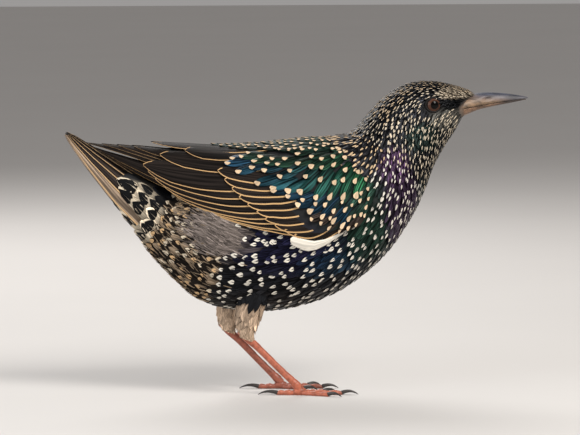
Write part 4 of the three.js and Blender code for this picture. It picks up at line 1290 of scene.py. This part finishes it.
def mixed(tree, factor, first, second):
    """Two colours mixed by a factor."""
    node = tree.nodes.new("ShaderNodeMix")
    node.data_type = "RGBA"
    tree.links.new(factor, node.inputs["Factor"])
    tree.links.new(first, node.inputs["A"])
    tree.links.new(second, node.inputs["B"])
    return node.outputs["Result"]


def bill_material(name, base, ridge, tip):
    """Horn: the base's colour turning to the ridge's with height, dark at the tip, with fine
    streaks along the bill."""
    finish, tree, shader = node_material(name)
    streak = noise(tree, 800, 4, (0.14, 1, 1))
    to_tip = [(0.0, base), (0.5, base), (0.82, tip), (1.0, tip)]
    lengthwise = shaded(tree, to_tip, along_axis(tree, "X", 62, 95))
    upward = ranged(tree, along_axis(tree, "Z", 118.2, 121.4), 0, 1)
    top = shaded(tree, [(0.0, base), (0.35, ridge), (1.0, ridge)], along_axis(tree, "X", 66, 90))
    streaks = ranged(tree, sharpened(tree, streak, 0.36, 0.64), 0.5, 1.5)
    colour = mixed(tree, upward, lengthwise, top)
    tree.links.new(times(tree, colour, streaks), shader.inputs["Base Color"])
    tree.links.new(ranged(tree, streak, 0.6, 0.4), shader.inputs["Roughness"])
    bumped(tree, shader, streak, 0.06)
    return finish


for name, stations, base, ridge in (
    ("bill_upper", BILL_UPPER, HORN_BASE, HORN_RIDGE),
    ("bill_lower", BILL_LOWER, HORN_LOWER, HORN_LOWER),
):
    bill_points, bill_faces = bill_half(stations, stations is BILL_UPPER)
    finish = bill_material("horn of " + name, base, ridge, HORN_TIP)
    piece(name + "_horn", bill_points, bill_faces, finish, "bill", (name,))


# Each eye is a wet dark ball with a clear front that bulges a little, set in the head and turned
# slightly ahead, with a ring of bare beaded lid round it.
EYE_OUT = 8.7
EYE_TURN = 0.17
# By share of the way out from the pupil's middle: the colours of pupil, iris and rim.
IRIS = [
    (0.0, (0.001, 0.001, 0.001)), (0.36, (0.002, 0.001, 0.001)), (0.41, (0.055, 0.025, 0.016)),
    (0.6, (0.10, 0.046, 0.03)), (0.7, (0.015, 0.009, 0.008)), (1.0, (0.006, 0.005, 0.005)),
]
LID_RADIUS = 3.05
LID_TUBE = 0.5
LID_BEADS = 22
LID_OUT = 2.0


def eye_material():
    """Black pupil, red-brown iris and dark rim, by the distance from the eye's own axis."""
    finish, tree, shader = node_material("eye")
    place = tree.nodes.new("ShaderNodeUVMap")
    place.uv_map = "UVMap"
    parts = tree.nodes.new("ShaderNodeSeparateXYZ")
    tree.links.new(place.outputs["UV"], parts.inputs["Vector"])
    tree.links.new(shaded(tree, IRIS, parts.outputs["Y"]), shader.inputs["Base Color"])
    shader.inputs["Roughness"].default_value = 0.03
    shader.inputs["Specular IOR Level"].default_value = 0.12
    return finish


def lid_material():
    """Bare dark grey skin with fine beads."""
    finish, tree, shader = node_material("bare lid")
    beads = noise(tree, 2600, 2)
    colour = shaded(tree, [(0.3, (0.002, 0.002, 0.002)), (0.7, (0.011, 0.009, 0.008))], beads)
    tree.links.new(colour, shader.inputs["Base Color"])
    shader.inputs["Roughness"].default_value = 0.6
    shader.inputs["Specular IOR Level"].default_value = 0.2
    bumped(tree, shader, beads, 0.12)
    return finish


eye_finish, lid_finish = eye_material(), lid_material()
polar, turn = grid_of(np.linspace(0.02, np.pi - 0.02, 40), full_turn(48))
bulge = EYE["radius"] * (1 + 0.05 * np.exp(-((polar / 0.5) ** 2)))
ball = np.stack(
    [bulge * np.sin(polar) * np.cos(turn), -bulge * np.cos(polar), bulge * np.sin(polar) * np.sin(turn)], -1
)
around, tube = grid_of(full_turn(64), full_turn(16))
lid_reach = LID_RADIUS + LID_TUBE * np.cos(tube)
beading = 1 + 0.1 * np.cos(LID_BEADS * around) * (np.cos(tube) > 0)
lid_ring = np.stack(
    [
        lid_reach * np.cos(around) * (1.03 + 0.06 * np.abs(np.cos(around))),
        -LID_OUT - LID_TUBE * np.sin(tube) * beading + 0.35 * np.cos(around) ** 2,
        lid_reach * np.sin(around) * 0.93,
    ],
    -1,
)
cosine, sine = math.cos(EYE_TURN), math.sin(EYE_TURN)
turning = np.array([[cosine, sine, 0], [-sine, cosine, 0], [0, 0, 1]])
centre = np.array([EYE["x"], -EYE_OUT, EYE["z"]])
ball_points, ball_faces = closed(ball @ turning + centre)
ring_points = (lid_ring @ turning + centre).reshape(-1, 3)
ring_faces = [quads(*lid_ring.shape[:2], joined=True, looped=True)]
ball_uv = np.concatenate([np.stack([turn / 7, polar / 1.3], -1).reshape(-1, 2), [[0, 0], [0, 2]]])
for side in LEGS:
    if side == "left":
        ball_points, ball_faces = mirrored(ball_points, ball_faces)
        ring_points, ring_faces = mirrored(ring_points, ring_faces)
    piece("eyeball_" + side, ball_points, ball_faces, eye_finish, "eye", ("eye_" + side,), UVMap=ball_uv)
    piece("lid_" + side, ring_points, ring_faces, lid_finish, "plumage", ("head",))


# Each leg is bare below the thigh: a shank and four toes of horny scales over bone and tendon,
# with a curved claw of dark horn on each toe.
# Along the shank: the share of the way from the ankle to the joint of the toes, the place (x, z)
# from there, and the radius.
SHANK = [
    [0, -0.6, 1.6, 1.9], [0, 2.2, -1.9, 1.75], [0.28, 0.4, 0, 1.42], [0.65, 0, 0, 1.38], [1, -2.6, 2.5, 1.5],
    [1, -0.8, 0.7, 1.75], [1, 0.9, -1.2, 1.6],
]
# Where the toes meet: x from the joint, z and radius.
BULB = [[-1.5, 1.5, 1.3], [0.8, 1.7, 1.8], [3, 1.4, 1.2]]
TOE_HUB = 0.8
# Degrees from straight ahead, the toe's length and girth, and its claw's length.
TOES = {
    "middle": (0, 17.5, 2.3, 6.2),
    "inner": (27, 11.5, 2.2, 5.6),
    "outer": (-26, 13, 2.0, 5.4),
    "hind": (178, 9.5, 2.4, 7.5),
}
# The number of points along a toe, which swells at its pads, and how high its middle line lies as
# a share of its radius.
TOE_PADS = 7
TOE_SINK = 0.86
CLAW_SINK = 0.4
# The legs' colours: the right leg's own orange-red, and for the far, left leg the same colour darkened as
# painted shade.
LEG_COLOURS_WITH_PAINTED_SHADE = {"right": (0.43, 0.12, 0.065), "left": (0.30, 0.085, 0.05)}
CLAW_COLOUR = (0.035, 0.028, 0.025)


def tube_of(centres, sides, scales=0, depth=0.06):
    """A closed tube through centres (x, y, z, radius), carried smoothly along. Scales lap over
    each other on its upper or front side: the radius grows along each and drops at its end, by
    depth times the share to which the side faces up. It is flat where it would pass the floor."""
    last = len(centres) - 1
    place, angle = grid_of(np.linspace(0, last, 24 + 6 * scales), full_turn(sides))
    middle = carried(centres, place)
    ahead = carried(centres, place + 0.05)[..., :3] - carried(centres, place - 0.05)[..., :3]
    ahead /= np.linalg.norm(ahead, axis=-1, keepdims=True)
    across = np.stack([ahead[..., 1], -ahead[..., 0], 0 * place], -1)
    across /= np.linalg.norm(across, axis=-1, keepdims=True)
    up = np.cross(across, ahead)
    upward = np.clip(np.sin(angle), 0, 1) ** 0.5
    step = (place / last * scales) % 1 if scales else 0 * place
    radius = middle[..., 3] * (1 + depth * (step - 0.5) * upward)
    outward = across * np.cos(angle)[..., None] + up * np.sin(angle)[..., None]
    points = middle[..., :3] + outward * radius[..., None]
    points[..., 2] = np.maximum(points[..., 2], 0)
    return closed(points)


def scaly_material(name, colour):
    """Horny skin: mottled darker and lighter, with a dull shine."""
    finish, tree, shader = node_material(name)
    mottle = noise(tree, 700, 4)
    dark = tuple(0.45 * part for part in colour)
    light = tuple(min(1, 1.35 * part) for part in colour)
    mottled = shaded(tree, [(0.25, dark), (0.5, colour), (0.8, light)], mottle)
    tree.links.new(mottled, shader.inputs["Base Color"])
    tree.links.new(ranged(tree, mottle, 0.5, 0.28), shader.inputs["Roughness"])
    bumped(tree, shader, mottle, 0.08)
    return finish


claw_finish = scaly_material("dark horn of the claws", CLAW_COLOUR)
for side, leg in LEGS.items():
    # The left leg's finish carries the painted shade of its darker colour.
    leg_finish = scaly_material("scaly skin of the " + side + " leg", LEG_COLOURS_WITH_PAINTED_SHADE[side])
    ankle, joint = np.array(leg["ankle"]), np.array(leg["joint"])
    way, x_off, z_off, girth = np.array(SHANK).T
    line = ankle + np.outer(way, joint - ankle) + np.stack([x_off, z_off], 1)
    shank = np.column_stack([line[:, 0], np.full(len(line), leg["y"]), line[:, 1], girth])
    shank_points, shank_faces = tube_of(shank, 20, 9, 0.1)
    piece("shank_skin_" + side, shank_points, shank_faces, leg_finish, "leg", ("shank_" + side,))
    foot_parts = [tube_of([[joint[0] + x, leg["y"], z, radius] for x, z, radius in BULB], 16)]
    hub = np.array([joint[0] + TOE_HUB, leg["y"]])
    for name, (bearing, reach, girth, claw) in TOES.items():
        heading = math.radians(-np.sign(leg["y"]) * (bearing + leg["turn"]))
        direction = [math.cos(heading), math.sin(heading)]
        pads = np.linspace(0, 1, TOE_PADS)
        swell = np.where(np.arange(TOE_PADS) % 2 == 1, 1.12, 0.93) * (1 - 0.22 * pads)
        swell[-1] *= 0.8
        toe_line = hub + np.outer(reach * pads, direction)
        toe = np.column_stack([toe_line, girth / 2 * swell * TOE_SINK, girth / 2 * swell])
        foot_parts.append(tube_of(toe, 16, int(reach * 0.9), 0.12))
        share = np.linspace(0, 1, 8)
        hook_line = hub + np.outer(reach - CLAW_SINK + (claw + 0.5) * share, direction)
        hook_height = 0.95 + 1.1 * np.sin(2.2 * share) - 1.65 * share**2
        hook = np.column_stack([hook_line, hook_height, 0.8 * (1 - share) ** 0.8 + 0.1])
        claw_points, claw_faces = tube_of(hook, 14)
        toe_name = side + "_" + name
        piece("claw_horn_" + toe_name, claw_points, claw_faces, claw_finish, "claw", ("claw_" + toe_name,))
    foot_points, foot_faces = gathered(foot_parts)
    piece("foot_skin_" + side, foot_points, foot_faces, leg_finish, "leg", ("foot_" + side,))


# A plain pale floor and soft studio light: a large key lamp above the camera's right, a weaker
# one from the left, one behind, and an even pale surround.
FLOOR_REACH = 4000
FLOOR_COLOUR = (0.62, 0.60, 0.58, 1)
LAMP_AIM = (0, 0, 80)
LAMPS = {
    "key": {"at": (420, -620, 720), "size": 420, "power": 9, "colour": (1.0, 0.97, 0.93)},
    "fill": {"at": (-700, -520, 320), "size": 600, "power": 3.5, "colour": (0.92, 0.96, 1.0)},
    "rim": {"at": (-150, 700, 650), "size": 500, "power": 5, "colour": (1.0, 0.98, 0.96)},
}
SURROUND_COLOUR = (0.60, 0.58, 0.57, 1)
SURROUND_STRENGTH = 0.55

floor_finish, floor_tree, floor_shader = node_material("pale floor")
floor_tint = floor_tree.nodes.new("ShaderNodeRGB")
floor_tint.outputs[0].default_value = FLOOR_COLOUR
floor_mottle = ranged(floor_tree, noise(floor_tree, 6), 0.97, 1.03)
floor_colour = times(floor_tree, floor_tint.outputs[0], floor_mottle)
floor_tree.links.new(floor_colour, floor_shader.inputs["Base Color"])
floor_shader.inputs["Roughness"].default_value = 0.8
reach = FLOOR_REACH * MM
corners = [(-reach, -reach, 0), (reach, -reach, 0), (reach, reach, 0), (-reach, reach, 0)]
floor_mesh = bpy.data.meshes.new("floor")
floor_mesh.from_pydata(corners, [], [(0, 1, 2, 3)])
floor_mesh.materials.append(floor_finish)
floor = bpy.data.objects.new("floor", floor_mesh)
bpy.context.scene.collection.objects.link(floor)
for name, lamp in LAMPS.items():
    light = bpy.data.lights.new(name, "AREA")
    light.size = lamp["size"] * MM
    light.energy = lamp["power"]
    light.color = lamp["colour"]
    holder = bpy.data.objects.new(name, light)
    holder.location = Vector(lamp["at"]) * MM
    inward = Vector(LAMP_AIM) * MM - holder.location
    holder.rotation_euler = inward.to_track_quat("-Z", "Y").to_euler()
    bpy.context.scene.collection.objects.link(holder)
surround = bpy.data.worlds.new("surround")
surround.use_nodes = True
surround.node_tree.nodes["Background"].inputs["Color"].default_value = SURROUND_COLOUR
surround.node_tree.nodes["Background"].inputs["Strength"].default_value = SURROUND_STRENGTH
bpy.context.scene.world = surround
bpy.context.scene.view_settings.view_transform = "Standard"
